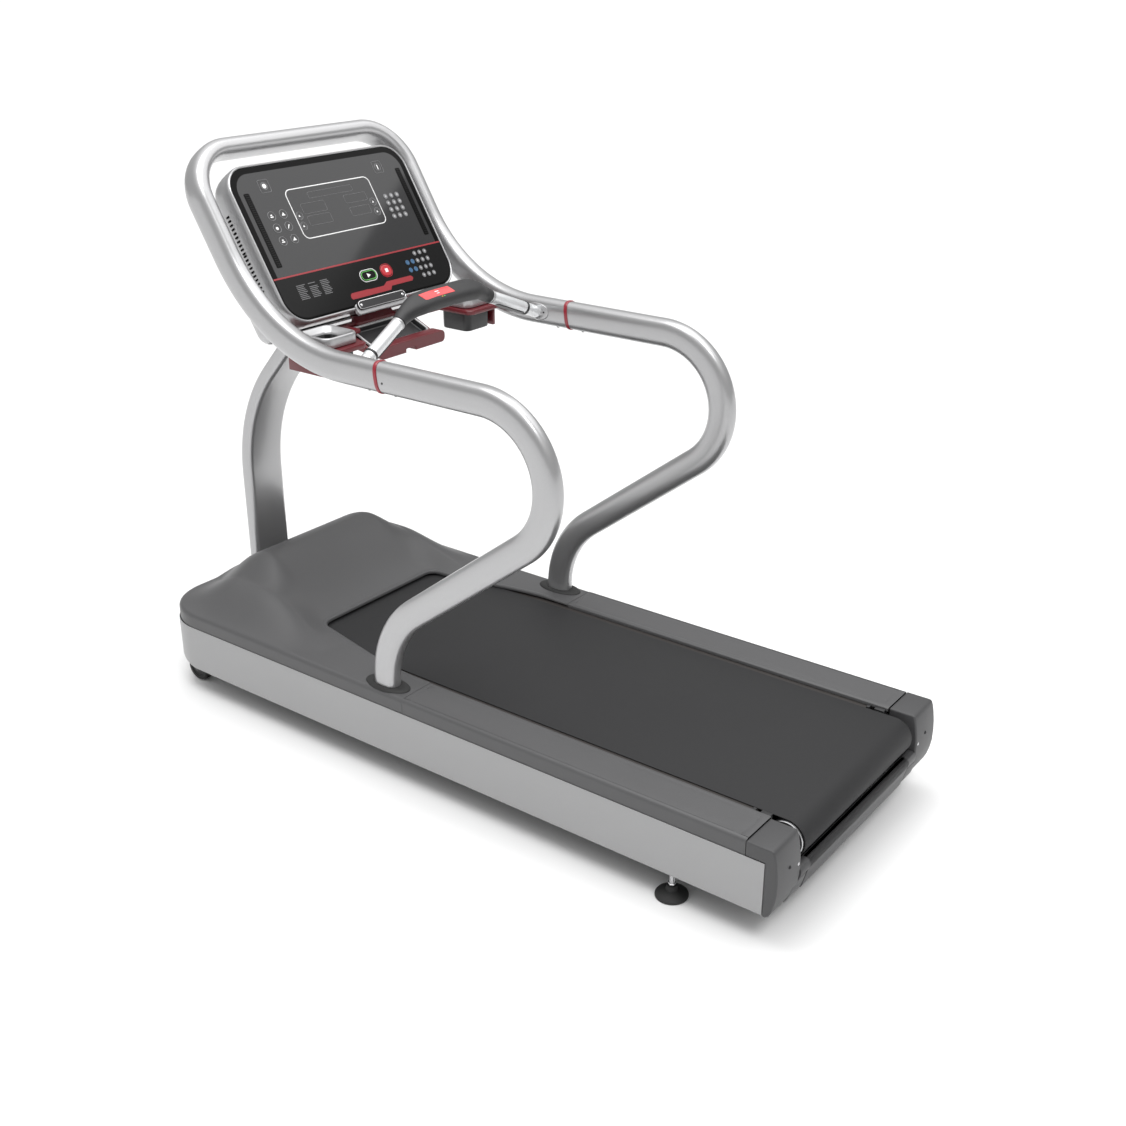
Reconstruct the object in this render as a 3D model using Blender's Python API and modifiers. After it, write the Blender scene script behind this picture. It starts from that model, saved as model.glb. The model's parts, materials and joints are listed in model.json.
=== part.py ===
"""Motorised treadmill with a raised console, built as separate named parts in metres.

+X is the user's right, +Y is forward (towards the motor hood), +Z is up. The origin is on the floor,
under the middle of the machine. Run it with: blender --background --python part.py
"""

import math

import bmesh
import bpy
from mathutils import Matrix, Vector

# Driving dimensions, in metres
LENGTH = 2.070
GAP = 0.0004  # clearance kept between pieces that touch
BELT_HALF = 0.2795
BELT_TOP = 0.2520
BELT_THICK = 0.003
ROLLER_R = 0.0445
REAR_ROLLER_Y = -0.9795
FRONT_ROLLER_Y = 0.545

RAIL_TOP = 0.257  # walking surface of the foot rails and of the hood's arms
RAIL_IN = 0.300
RAIL_OUT = 0.408
BAND_BOTTOM = 0.2175  # where the dark side band meets the silver panel
PANEL_OUT = 0.413
PANEL_BOTTOM = 0.078
PANEL_REAR = -0.999
CORNER_R = 0.145  # plan radius of the machine's front corners
SKIN = 0.0035

FRAME_IN = 0.320
FRAME_OUT = 0.390
FRAME_BOTTOM = 0.098
FRAME_TOP = 0.188

HOOD_REAR = 0.062
HOOD_FRONT = 1.0305
LIP_Y = 0.533
LIP_HALF = 0.229
CREST_Y = 0.775
LIP_R = 0.036
CREST_RISE = 0.149
LOBE_RISE = 0.088  # the shoulders outside the creases that run along the hump
FLANK = 0.090
CREASE = (
    (0.35, 0.318),
    (0.48, 0.302),
    (0.55, 0.292),
    (0.62, 0.281),
    (0.74, 0.281),
    (0.82, 0.276),
    (0.88, 0.263),
    (0.94, 0.238),
    (0.98, 0.214),
    (1.03, 0.190),
)  # (Y, X) of the crease

TUBE_X = 0.371  # the handrails' planes
TUBE_A = 0.0237  # the tube's half width across its plane
TUBE_B = 0.0373  # the tube's half depth in its plane
TUBE_TOP = 1.0943
TUBE_REAR = -0.3839
TUBE_BEND = 0.186
TUBE_SLOPE = math.radians(37.2)
FOOT_BEND = 0.2756
TUBE_WALL = 0.0030
FOOT_Y = 0.1454
COLLAR_Y = 0.107

LOOP_BEND = 0.455
LOOP_BEND_Y = 0.234
LOOP_TILT = math.radians(59.0)  # the upright's angle above the floor
LOOP_TOP = 1.545
LOOP_CORNER = 0.130

FACE_ORIGIN = (0.0, 0.466, 1.155)
FACE_TILT = math.radians(58.7)
FACE_HALF = 0.312
FACE_HIGH = 0.412
SHELL_DEEP = 0.085

MAST_HALF = 0.065
MAST_DEEP = 0.045
MAST_Y = 1.0025
MAST_BEND_Z = 0.560
MAST_BEND = 0.4995
MAST_LEAN = math.radians(42.5)

LIFT_PIVOT = (0.645, 0.115)
WHEEL_AT = (0.957, 0.040)
WHEEL_X = 0.340
HORN = 0.080
HORN_LEAN = math.radians(-20.0)
HORN_X = -0.170
MOTOR_AT = (0.790, 0.215)
FOOT_AT = (0.378, -0.747)

CUP_AT = (0.265, 0.396)
CUP_HALF = 0.058
CUP_NECK = 0.050
POCKET_R = 0.0415

collection = None
cutters = None
palette = {}


def clear_scene():
    for obj in list(bpy.data.objects):
        bpy.data.objects.remove(obj, do_unlink=True)


def make_collections():
    global collection, cutters
    collection = bpy.data.collections.new("treadmill")
    cutters = bpy.data.collections.new("cutters")
    bpy.context.scene.collection.children.link(collection)
    bpy.context.scene.collection.children.link(cutters)


def material(name, colour, roughness, metallic=0.0):
    made = bpy.data.materials.new(name)
    made.use_nodes = True
    shader = made.node_tree.nodes["Principled BSDF"]
    shader.inputs["Base Color"].default_value = (*colour, 1.0)
    shader.inputs["Roughness"].default_value = roughness
    shader.inputs["Metallic"].default_value = metallic
    palette[name] = made


def make_palette():
    material("silver_paint", (0.42, 0.42, 0.43), 0.32, 0.6)
    material("silver_plastic", (0.42, 0.42, 0.43), 0.36)
    material("panel_silver", (0.38, 0.38, 0.39), 0.42, 0.4)
    material("dark_plastic", (0.13, 0.13, 0.135), 0.55)
    material("belt_rubber", (0.045, 0.045, 0.046), 0.75)
    material("frame_paint", (0.06, 0.06, 0.065), 0.50)
    material("steel", (0.55, 0.55, 0.56), 0.30, 1.0)
    material("rubber", (0.02, 0.02, 0.02), 0.80)
    material("deck_board", (0.22, 0.14, 0.08), 0.50)
    material("black_plastic", (0.015, 0.015, 0.017), 0.35)
    material("face_overlay", (0.05, 0.05, 0.052), 0.20)
    material("red_plastic", (0.45, 0.02, 0.035), 0.35)
    material("green_key", (0.08, 0.30, 0.10), 0.35)
    material("circuit", (0.02, 0.16, 0.06), 0.45)


def keep(name, mesh, slot, parent=None, smooth=0.6):
    """Links one finished object, shaded smooth except at its edges."""
    obj = bpy.data.objects.new(name, mesh)
    collection.objects.link(obj)
    if slot:
        mesh.materials.clear()
        mesh.materials.append(palette[slot])
    mesh.shade_smooth()
    mesh.set_sharp_from_angle(angle=smooth)
    if parent:
        obj.parent = parent
    return obj


def as_cutter(obj):
    collection.objects.unlink(obj)
    cutters.objects.link(obj)
    obj.hide_render = True
    obj.display_type = "WIRE"
    return obj


def boolean(obj, tool, operation):
    step = obj.modifiers.new(operation.lower(), "BOOLEAN")
    step.operation = operation
    step.object = tool
    step.solver = "EXACT"
    return obj


def cut(obj, *tools):
    for tool in tools:
        boolean(obj, as_cutter(tool), "DIFFERENCE")
    return obj


def join(obj, *tools):
    for tool in tools:
        boolean(obj, as_cutter(tool), "UNION")
    return obj


def rounded(obj, width, segments=2):
    step = obj.modifiers.new("bevel", "BEVEL")
    step.width = width
    step.segments = segments
    step.limit_method = "ANGLE"
    step.angle_limit = math.radians(40)
    return obj


def box(name, low, high, slot, parent=None, bevel=0.0, segments=2):
    """A block between two corners, with its size in its mesh so that a bevel stays even."""
    low = Vector(low)
    high = Vector(high)
    shape = bmesh.new()
    bmesh.ops.create_cube(shape, size=1.0)
    size = high - low
    bmesh.ops.scale(shape, vec=size, verts=shape.verts)
    mesh = bpy.data.meshes.new(name)
    shape.to_mesh(mesh)
    shape.free()
    obj = keep(name, mesh, slot, parent)
    obj.location = (low + high) / 2
    if bevel:
        rounded(obj, bevel, segments)
    return obj


def turned(name, profile, at, axis, slot, steps=24, closed=True, parent=None):
    """A profile of (radius, height) pairs, outer side first and downwards, turned about an axis."""
    shape = bmesh.new()
    points = [shape.verts.new((radius, 0.0, height)) for radius, height in profile]
    for a, b in zip(points, points[1:]):
        shape.edges.new((a, b))
    if closed:
        shape.edges.new((points[-1], points[0]))
    mesh = bpy.data.meshes.new(name)
    shape.to_mesh(mesh)
    shape.free()
    obj = keep(name, mesh, slot, parent)
    screw = obj.modifiers.new("turn", "SCREW")
    screw.angle = math.tau
    screw.steps = steps
    screw.render_steps = steps
    screw.use_merge_vertices = True
    screw.merge_threshold = 0.00002
    screw.use_smooth_shade = True
    obj.location = at
    if axis == "X":
        obj.rotation_euler = (0.0, math.radians(90), 0.0)
    elif axis == "Y":
        obj.rotation_euler = (math.radians(-90), 0.0, 0.0)
    return obj


def drum(radius, low, high, bore=0.0):
    """The profile of a plain cylinder or, with a bore, of a ring."""
    if bore:
        return [(radius, high), (radius, low), (bore, low), (bore, high)]
    return [(0.0, high), (radius, high), (radius, low), (0.0, low)]


def mesh_from(obj):
    """Turns a curve object into a mesh object with its caps welded on."""
    graph = bpy.context.evaluated_depsgraph_get()
    mesh = bpy.data.meshes.new_from_object(obj.evaluated_get(graph))
    shape = bmesh.new()
    shape.from_mesh(mesh)
    bmesh.ops.remove_doubles(shape, verts=shape.verts, dist=0.00002)
    bmesh.ops.recalc_face_normals(shape, faces=shape.faces)
    shape.to_mesh(mesh)
    shape.free()
    name = obj.name
    matrix = obj.matrix_world.copy()
    slot = obj.data.materials[0].name
    curve = obj.data
    bpy.data.objects.remove(obj, do_unlink=True)
    bpy.data.curves.remove(curve)
    made = keep(name, mesh, slot)
    made.matrix_world = matrix
    return made


def outline(name, loops, thick, slot):
    """A flat outline, with any holes as further loops, thick metres deep about its own plane."""
    curve = bpy.data.curves.new(name, "CURVE")
    curve.dimensions = "2D"
    curve.fill_mode = "BOTH"
    curve.extrude = thick / 2
    for loop in loops:
        spline = curve.splines.new("POLY")
        spline.points.add(len(loop) - 1)
        for point, (x, y) in zip(spline.points, loop):
            point.co = (x, y, 0.0, 1.0)
        spline.use_cyclic_u = True
    curve.materials.append(palette[slot])
    obj = bpy.data.objects.new(name, curve)
    collection.objects.link(obj)
    bpy.context.view_layer.update()
    return mesh_from(obj)


def side_view(name, loops, x_low, x_high, slot):
    """An outline drawn in (Y, Z) and standing between two X planes."""
    obj = outline(name, loops, x_high - x_low, slot)
    obj.matrix_world = Matrix(
        ((0, 0, 1, (x_low + x_high) / 2), (1, 0, 0, 0), (0, 1, 0, 0), (0, 0, 0, 1))
    )
    return obj


def plan_view(name, loops, z_low, z_high, slot, parent=None):
    """An outline drawn in (X, Y) between two heights."""
    obj = outline(name, loops, z_high - z_low, slot)
    obj.location = (0, 0, (z_low + z_high) / 2)
    if parent:
        obj.parent = parent
    return obj


def arc(cx, cy, radius, start, end, steps):
    """Points on an arc, with its angles in degrees."""
    found = []
    for i in range(steps + 1):
        angle = math.radians(start + (end - start) * i / steps)
        found.append((cx + radius * math.cos(angle), cy + radius * math.sin(angle)))
    return found


def ellipse(cx, cy, rx, ry, steps=24):
    angles = [math.tau * i / steps for i in range(steps)]
    return [(cx + rx * math.cos(a), cy + ry * math.sin(a)) for a in angles]


def rounded_rectangle(x0, y0, x1, y1, radius, steps=4):
    return (
        arc(x1 - radius, y1 - radius, radius, 0, 90, steps)
        + arc(x0 + radius, y1 - radius, radius, 90, 180, steps)
        + arc(x0 + radius, y0 + radius, radius, 180, 270, steps)
        + arc(x1 - radius, y0 + radius, radius, 270, 360, steps)
    )


def belt_loop(ends, offset, steps=10):
    """The path round two circles (y, z, radius), seen from the side."""
    (ya, za, ra), (yb, zb, rb) = ends
    span = math.hypot(yb - ya, zb - za)
    lean = math.atan2(zb - za, yb - ya)
    open_angle = math.acos((ra - rb) / span)
    front = [math.degrees(lean + t) for t in (-open_angle, open_angle)]
    rear = [front[1], front[0] + 360]
    return arc(yb, zb, rb + offset, front[0], front[1], steps) + arc(
        ya, za, ra + offset, rear[0], rear[1], steps
    )


def wall(name, path, z_low, z_high, thick, slot):
    """A thin upright wall that follows a path in plan, thickened inwards."""
    shape = bmesh.new()
    low = [shape.verts.new((x, y, z_low)) for x, y in path]
    high = [shape.verts.new((x, y, z_high)) for x, y in path]
    for i in range(len(path) - 1):
        shape.faces.new((low[i], low[i + 1], high[i + 1], high[i]))
    mesh = bpy.data.meshes.new(name)
    shape.to_mesh(mesh)
    shape.free()
    obj = keep(name, mesh, slot)
    solid = obj.modifiers.new("thickness", "SOLIDIFY")
    solid.thickness = thick
    solid.offset = -1.0
    return obj


def oval_section(name, half_x, half_y, steps=16):
    """A closed curve that other curves are swept with."""
    curve = bpy.data.curves.new(name, "CURVE")
    curve.dimensions = "2D"
    spline = curve.splines.new("POLY")
    spline.points.add(steps - 1)
    for point, (x, y) in zip(spline.points, ellipse(0, 0, half_x, half_y, steps)):
        point.co = (x, y, 0.0, 1.0)
    spline.use_cyclic_u = True
    obj = bpy.data.objects.new(name, curve)
    cutters.objects.link(obj)
    obj.hide_render = True
    return obj


def rounded_section(name, half_x, half_y, radius):
    curve = bpy.data.curves.new(name, "CURVE")
    curve.dimensions = "2D"
    spline = curve.splines.new("POLY")
    loop = rounded_rectangle(-half_x, -half_y, half_x, half_y, radius, 3)
    spline.points.add(len(loop) - 1)
    for point, (x, y) in zip(spline.points, loop):
        point.co = (x, y, 0.0, 1.0)
    spline.use_cyclic_u = True
    obj = bpy.data.objects.new(name, curve)
    cutters.objects.link(obj)
    obj.hide_render = True
    return obj


def swept(name, points, section, slot, wall_thick=0.0):
    """A section carried along a path of 3-D points: a capped bar or, with a wall, an open tube."""
    curve = bpy.data.curves.new(name, "CURVE")
    curve.dimensions = "3D"
    curve.twist_mode = "MINIMUM"
    curve.bevel_mode = "OBJECT"
    curve.bevel_object = section
    curve.use_fill_caps = not wall_thick
    spline = curve.splines.new("POLY")
    spline.points.add(len(points) - 1)
    for point, co in zip(spline.points, points):
        point.co = (*co, 1.0)
    curve.materials.append(palette[slot])
    obj = bpy.data.objects.new(name, curve)
    collection.objects.link(obj)
    bpy.context.view_layer.update()
    obj = mesh_from(obj)
    if wall_thick:
        solid = obj.modifiers.new("wall", "SOLIDIFY")
        solid.thickness = wall_thick
        solid.offset = -1.0
    return obj


def rod(name, points, radius, slot, resolution=4):
    """A round bar along a path."""
    curve = bpy.data.curves.new(name, "CURVE")
    curve.dimensions = "3D"
    curve.bevel_depth = radius
    curve.bevel_resolution = resolution
    curve.use_fill_caps = True
    spline = curve.splines.new("POLY")
    spline.points.add(len(points) - 1)
    for point, co in zip(spline.points, points):
        point.co = (*co, 1.0)
    curve.materials.append(palette[slot])
    obj = bpy.data.objects.new(name, curve)
    collection.objects.link(obj)
    bpy.context.view_layer.update()
    return mesh_from(obj)


# --- Base: frame, covers and feet ---------------------------------------------------------------


def box_tube(name, low, high, along, slot, thick=0.003):
    """A rectangular steel tube, open at both ends."""
    obj = box(name, low, high, slot)
    inner_low = [v + thick for v in low]
    inner_high = [v - thick for v in high]
    inner_low[along] = low[along] - 0.01
    inner_high[along] = high[along] + 0.01
    return cut(obj, box(name + "_hollow", inner_low, inner_high, slot))


def make_frame():
    for side, letter in ((-1, "l"), (1, "r")):
        x = sorted((side * FRAME_IN, side * FRAME_OUT))
        low = (x[0], -0.965, FRAME_BOTTOM)
        high = (x[1], 0.957, FRAME_TOP)
        rail = box_tube("frame_rail_" + letter, low, high, 1, "frame_paint")
        at = (side * FOOT_AT[0], FOOT_AT[1], FRAME_BOTTOM)
        cut(rail, turned("stem_hole_" + letter, drum(0.0066, -0.02, 0.02), at, "Z", "steel", 16, False))
    reach = FRAME_IN - GAP
    rear = ((-reach, -0.900, 0.100), (reach, -0.850, 0.150))
    front = ((-reach, 0.932, 0.110), (reach, 0.9795, 0.160))
    box_tube("cross_member_rear", *rear, 0, "frame_paint")
    box_tube("cross_member_front", *front, 0, "frame_paint")
    box(
        "belly_pan",
        (-0.279, 0.705, 0.098),
        (0.279, 0.931, 0.101),
        "frame_paint",
    )


def corner_path(side, out, start_y, front):
    """The machine's edge in plan, from the rear forwards and round its front corner."""
    centre_y = front - CORNER_R
    centre_x = out - CORNER_R
    bend = arc(centre_x, centre_y, CORNER_R, 0, 90, 8)
    path = [(out, start_y)] + bend
    path = [(side * x, y) for x, y in path]
    return path if side > 0 else path[::-1]


def make_panels():
    for side, letter in ((-1, "l"), (1, "r")):
        path = corner_path(side, PANEL_OUT, PANEL_REAR, LENGTH / 2)
        wall("side_panel_" + letter, path, PANEL_BOTTOM, BAND_BOTTOM - GAP, 0.003, "panel_silver")
    front = LENGTH / 2
    reach = PANEL_OUT - CORNER_R - GAP
    cover = box(
        "front_cover",
        (-reach, front - 0.003, PANEL_BOTTOM),
        (reach, front, BAND_BOTTOM - GAP),
        "dark_plastic",
    )
    inlet = box("inlet_hole", (-0.2255, 1.0, 0.1095), (-0.1745, 1.05, 0.1505), "steel")
    switch = box("switch_hole", (-0.1605, 1.0, 0.1155), (-0.1395, 1.05, 0.1445), "steel")
    cut(cover, inlet, switch)


def make_power_entry():
    front = LENGTH / 2
    inlet = box("power_inlet", (-0.225, 0.992, 0.110), (-0.175, front, 0.150), "black_plastic")
    cut(inlet, box("inlet_socket", (-0.214, 1.014, 0.120), (-0.186, 1.05, 0.141), "steel"))
    pivot = bpy.data.objects.new("power_switch_pivot", None)
    collection.objects.link(pivot)
    pivot.location = (-0.150, front - 0.006, 0.130)
    switch = box("power_switch", (-0.0095, -0.012, -0.013), (0.0095, 0.004, 0.013), "black_plastic")
    switch.parent = pivot
    rounded(switch, 0.001)


def foot_rail_section():
    """The foot rail's skin in (X, Z): inner lip, top, rounded outer edge and side band."""
    top = RAIL_TOP
    outer = [(RAIL_IN, top - 0.007), (RAIL_IN, top - 0.002), (RAIL_IN + 0.002, top)]
    outer += [(x, z) for x, z in arc(RAIL_OUT - 0.006, top - 0.006, 0.006, 90, 0, 4)]
    outer.append((RAIL_OUT, BAND_BOTTOM))
    return outer


def make_foot_rails():
    rear = -0.949
    front = HOOD_REAR - GAP
    for side, letter in ((-1, "l"), (1, "r")):
        shape = bmesh.new()
        ends = []
        for y in (rear, front):
            ends.append([shape.verts.new((side * x, y, z)) for x, z in foot_rail_section()])
        for i in range(len(ends[0]) - 1):
            face = (ends[0][i], ends[0][i + 1], ends[1][i + 1], ends[1][i])
            shape.faces.new(face if side < 0 else face[::-1])
        bmesh.ops.recalc_face_normals(shape, faces=shape.faces)
        mesh = bpy.data.meshes.new("foot_rail")
        shape.to_mesh(mesh)
        shape.free()
        obj = keep("foot_rail_" + letter, mesh, "dark_plastic")
        solid = obj.modifiers.new("thickness", "SOLIDIFY")
        solid.thickness = SKIN
        solid.offset = -1.0 if mesh.polygons[2].normal.z > 0 else 1.0


def smooth(t):
    t = min(max(t, 0.0), 1.0)
    return t * t * (3 - 2 * t)


def crease_at(y):
    """Half width of the hump at y, where its flank meets the shoulder."""
    if y <= CREASE[0][0]:
        return CREASE[0][1]
    for (y0, x0), (y1, x1) in zip(CREASE, CREASE[1:]):
        if y <= y1:
            return x0 + (x1 - x0) * (y - y0) / (y1 - y0)
    return CREASE[-1][1]


def hood_height(x, y):
    """Height of the hood's skin: a cross hump over the motor, between two shoulders."""
    if y < CREST_Y:
        crest = smooth((y - LIP_Y + 0.035) / (CREST_Y - LIP_Y + 0.035))
    else:
        crest = 1.0 - smooth((y - CREST_Y + 0.010) / 0.315)
    lobe = LOBE_RISE * smooth((y - 0.40) / 0.32) * (1 - smooth((y - 0.80) / 0.24))
    crease = crease_at(y)
    if abs(x) > crease:
        out = min(1.0, (abs(x) - crease) / (RAIL_OUT - 0.004 - crease))
        return RAIL_TOP + lobe * (1 - 0.5 * out**1.5 - 0.5 * smooth(out))
    side = min(1.0, (crease - abs(x)) / FLANK)
    side = 0.55 * (1 - (1 - side) ** 2.2) + 0.45 * smooth(side)
    return RAIL_TOP + CREST_RISE * crest * side + lobe * (1 - side)


def hood_inner(y):
    """The belt opening's half width at y, behind the hood's lip."""
    return RAIL_IN - (RAIL_IN - LIP_HALF) * smooth((y - 0.12) / (LIP_Y - 0.06))


def hood_outline():
    """The hood's edge in plan, with the belt opening as a notch in its rear."""
    side = corner_path(1, RAIL_OUT, HOOD_REAR, HOOD_FRONT)
    right = [(RAIL_IN, HOOD_REAR)] + side
    left = [(-x, y) for x, y in right[::-1]]
    steps = [HOOD_REAR + (LIP_Y - LIP_R - HOOD_REAR) * i / 10 for i in range(1, 10)]
    edge = [(hood_inner(y), y) for y in steps] + arc(LIP_HALF - LIP_R, LIP_Y - LIP_R, LIP_R, 0, 90, 5)
    return right + left + [(-x, y) for x, y in edge] + edge[::-1]


def height_block(name, lower_by):
    """A block whose top follows the hood's height, lowered by some thickness."""
    across, along = 36, 36
    shape = bmesh.new()
    bmesh.ops.create_grid(shape, x_segments=across, y_segments=along, size=1.0)
    bmesh.ops.scale(shape, vec=(0.43, 0.53, 1.0), verts=shape.verts)
    bmesh.ops.translate(shape, vec=(0.0, 0.52, 0.0), verts=shape.verts)
    top = list(shape.faces)
    grown = bmesh.ops.extrude_face_region(shape, geom=top)
    for element in grown["geom"]:
        if isinstance(element, bmesh.types.BMVert):
            element.co.z = hood_height(element.co.x, element.co.y) - lower_by
    for vert in shape.verts:
        if vert.co.z == 0.0:
            vert.co.z = BAND_BOTTOM - (0.02 if lower_by else -GAP)
    bmesh.ops.recalc_face_normals(shape, faces=shape.faces)
    mesh = bpy.data.meshes.new(name)
    shape.to_mesh(mesh)
    shape.free()
    return keep(name, mesh, "dark_plastic")


def make_hood():
    hood = plan_view("motor_hood", [hood_outline()], BAND_BOTTOM, 0.45, "dark_plastic")
    boolean(hood, as_cutter(height_block("hood_top", 0.0)), "INTERSECT")
    side = corner_path(1, RAIL_OUT - SKIN, 0.0, HOOD_FRONT - SKIN)
    hollow = side + [(-x, y) for x, y in side[::-1]]
    inner = plan_view("hood_hollow", [hollow], BAND_BOTTOM - 0.01, 0.45, "dark_plastic")
    boolean(inner, as_cutter(height_block("hood_underside", SKIN)), "INTERSECT")
    cut(hood, inner)
    notch = box("mast_hole", (-0.0665, 0.9785, 0.2), (0.0665, 1.0268, 0.45), "dark_plastic")
    cut(hood, notch)
    for side, letter in ((-1, "l"), (1, "r")):
        hole = ellipse(side * TUBE_X, FOOT_Y, TUBE_A + 0.0010, TUBE_B + 0.0010)
        cut(hood, plan_view("rail_hole_" + letter, [hole], 0.20, 0.30, "dark_plastic"))


def make_end_caps():
    """Moulded caps over the frame's rear ends, each with a foot that runs in under the belt."""
    rear = -LENGTH / 2
    top = [(-0.9495, RAIL_TOP), (-0.9495, BAND_BOTTOM), (PANEL_REAR - GAP, BAND_BOTTOM)]
    low = [(PANEL_REAR - GAP, PANEL_BOTTOM), (rear + 0.027, PANEL_BOTTOM), (rear + 0.013, 0.100)]
    back = [(rear + 0.003, 0.140), (rear + 0.003, 0.175), (rear + 0.008, 0.215), (rear + 0.013, RAIL_TOP - 0.006)]
    back += [(rear + 0.018, RAIL_TOP)]
    foot = [(PANEL_REAR - GAP, 0.068), (rear + 0.026, 0.068), (rear + 0.013, 0.100)]
    foot += [(rear + 0.006, 0.125), (PANEL_REAR - GAP, 0.125)]
    for side, letter in ((-1, "l"), (1, "r")):
        span = sorted((side * 0.3035, side * (PANEL_OUT - 0.0005)))
        cap = side_view("end_cap_" + letter, [top + low + back], *span, "dark_plastic")
        span = sorted((side * 0.262, side * 0.330))
        join(cap, side_view("cap_foot_" + letter, [foot], *span, "dark_plastic"))


def make_rear_guard():
    rear = -LENGTH / 2
    bar = [(rear + 0.032, 0.072), (rear + 0.019, 0.072), (rear + 0.004, 0.125), (rear, 0.143)]
    bar += [(rear + 0.003, 0.153), (rear + 0.010, 0.159), (rear + 0.022, 0.159), (rear + 0.032, 0.150)]
    guard = side_view("rear_guard", [bar], -0.2615, 0.2615, "dark_plastic")
    upper = [(rear + 0.032, 0.127), (rear + 0.0055, 0.127), (rear, 0.143), (rear + 0.003, 0.153)]
    upper += [(rear + 0.010, 0.159), (rear + 0.022, 0.159), (rear + 0.032, 0.150)]
    for side, letter in ((-1, "l"), (1, "r")):
        span = sorted((side * 0.240, side * 0.3030))
        join(guard, side_view("guard_end_" + letter, [upper], *span, "dark_plastic"))


# --- Deck, belt and drive ------------------------------------------------------------------------


def make_deck():
    top = BELT_TOP - BELT_THICK - GAP
    bottom = top - 0.025
    box("running_deck", (-0.345, -0.905, bottom), (0.345, 0.470, top), "deck_board", bevel=0.003)
    for along, y in (("f", 0.330), ("r", -0.780)):
        for side, letter in ((-1, "l"), (1, "r")):
            low = FRAME_TOP + GAP
            high = bottom - GAP
            waist = (low + high) / 2
            profile = [(0, high), (0.018, high), (0.014, waist), (0.018, low), (0, low)]
            turned(
                "deck_cushion_" + along + letter,
                profile,
                (side * 0.333, y, 0),
                "Z",
                "rubber",
                16,
                closed=False,
            )


def make_belt():
    belt_r = BELT_TOP - ROLLER_R - BELT_THICK - 0.0010
    ends = ((REAR_ROLLER_Y, belt_r, ROLLER_R), (FRONT_ROLLER_Y, belt_r, ROLLER_R))
    loops = [belt_loop(ends, BELT_THICK + 0.0010, 16), belt_loop(ends, 0.0010, 16)]
    side_view("running_belt", loops, -BELT_HALF, BELT_HALF, "belt_rubber")
    return belt_r


def make_rollers(height):
    """The two belt rollers. Each is a tube that turns on the bearing hubs of its fixed axle."""
    bore = 0.036
    rear = [(ROLLER_R, 0.286), (ROLLER_R, -0.286), (bore, -0.286), (bore, 0.286)]
    front = [(0.042, 0.3105), (0.042, 0.291), (ROLLER_R, 0.287)] + rear[1:3] + [(bore, 0.3105)]
    turned("front_roller", front, (0, FRONT_ROLLER_Y, height), "X", "steel", 24)
    turned("rear_roller", rear, (0, REAR_ROLLER_Y, height), "X", "steel", 24)
    hub = bore - 0.0006
    axle = [(0, 0.3190), (0.010, 0.3190), (0.010, 0.280), (hub, 0.280), (hub, 0.262), (0.010, 0.262)]
    axle += [(r, -h) for r, h in axle[::-1]]
    for name, y in (("front_axle", FRONT_ROLLER_Y), ("rear_axle", REAR_ROLLER_Y)):
        turned(name, axle, (0, y, height), "X", "steel", 20, closed=False)


def make_drive(height):
    y, z = MOTOR_AT
    motor = turned("drive_motor", drum(0.066, -0.045, 0.195), (0, y, z), "X", "frame_paint", 24, False)
    foot_low = (-0.02, y - 0.050, 0.1014)
    join(motor, box("motor_foot", foot_low, (0.17, y + 0.050, z), "frame_paint"))
    bore = turned("motor_bore", drum(0.0098, -0.08, 0.22), (0, y, z), "X", "steel", 16, False)
    cut(motor, bore)
    wheel = [(0, 0.190), (0.009, 0.190), (0.009, -0.052), (0.020, -0.052), (0.020, -0.0655)]
    wheel += [(0.074, -0.0655), (0.074, -0.1000), (0, -0.1000)]
    turned("flywheel", wheel, (0, y, z), "X", "steel", 24, closed=False)
    pulley = [(0, 0.3090), (0.020, 0.3090), (0.020, 0.2925), (0.009, 0.2925), (0.009, 0.1904), (0, 0.1904)]
    turned("motor_pulley", pulley, (0, y, z), "X", "steel", 20, closed=False)
    ends = ((FRONT_ROLLER_Y, height, 0.042), (y, z, 0.020))
    loops = [belt_loop(ends, 0.0040, 12), belt_loop(ends, 0.0010, 12)]
    side_view("drive_belt", loops, 0.2935, 0.3080, "rubber")
    controller = box("motor_controller", (0.02, 0.8650, 0.1625), (0.24, 0.965, 0.215), "black_plastic")
    for i in range(6):
        x = 0.042 + i * 0.034
        join(controller, box("fin_%d" % i, (x, 0.870, 0.213), (x + 0.005, 0.955, 0.232), "steel"))


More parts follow.
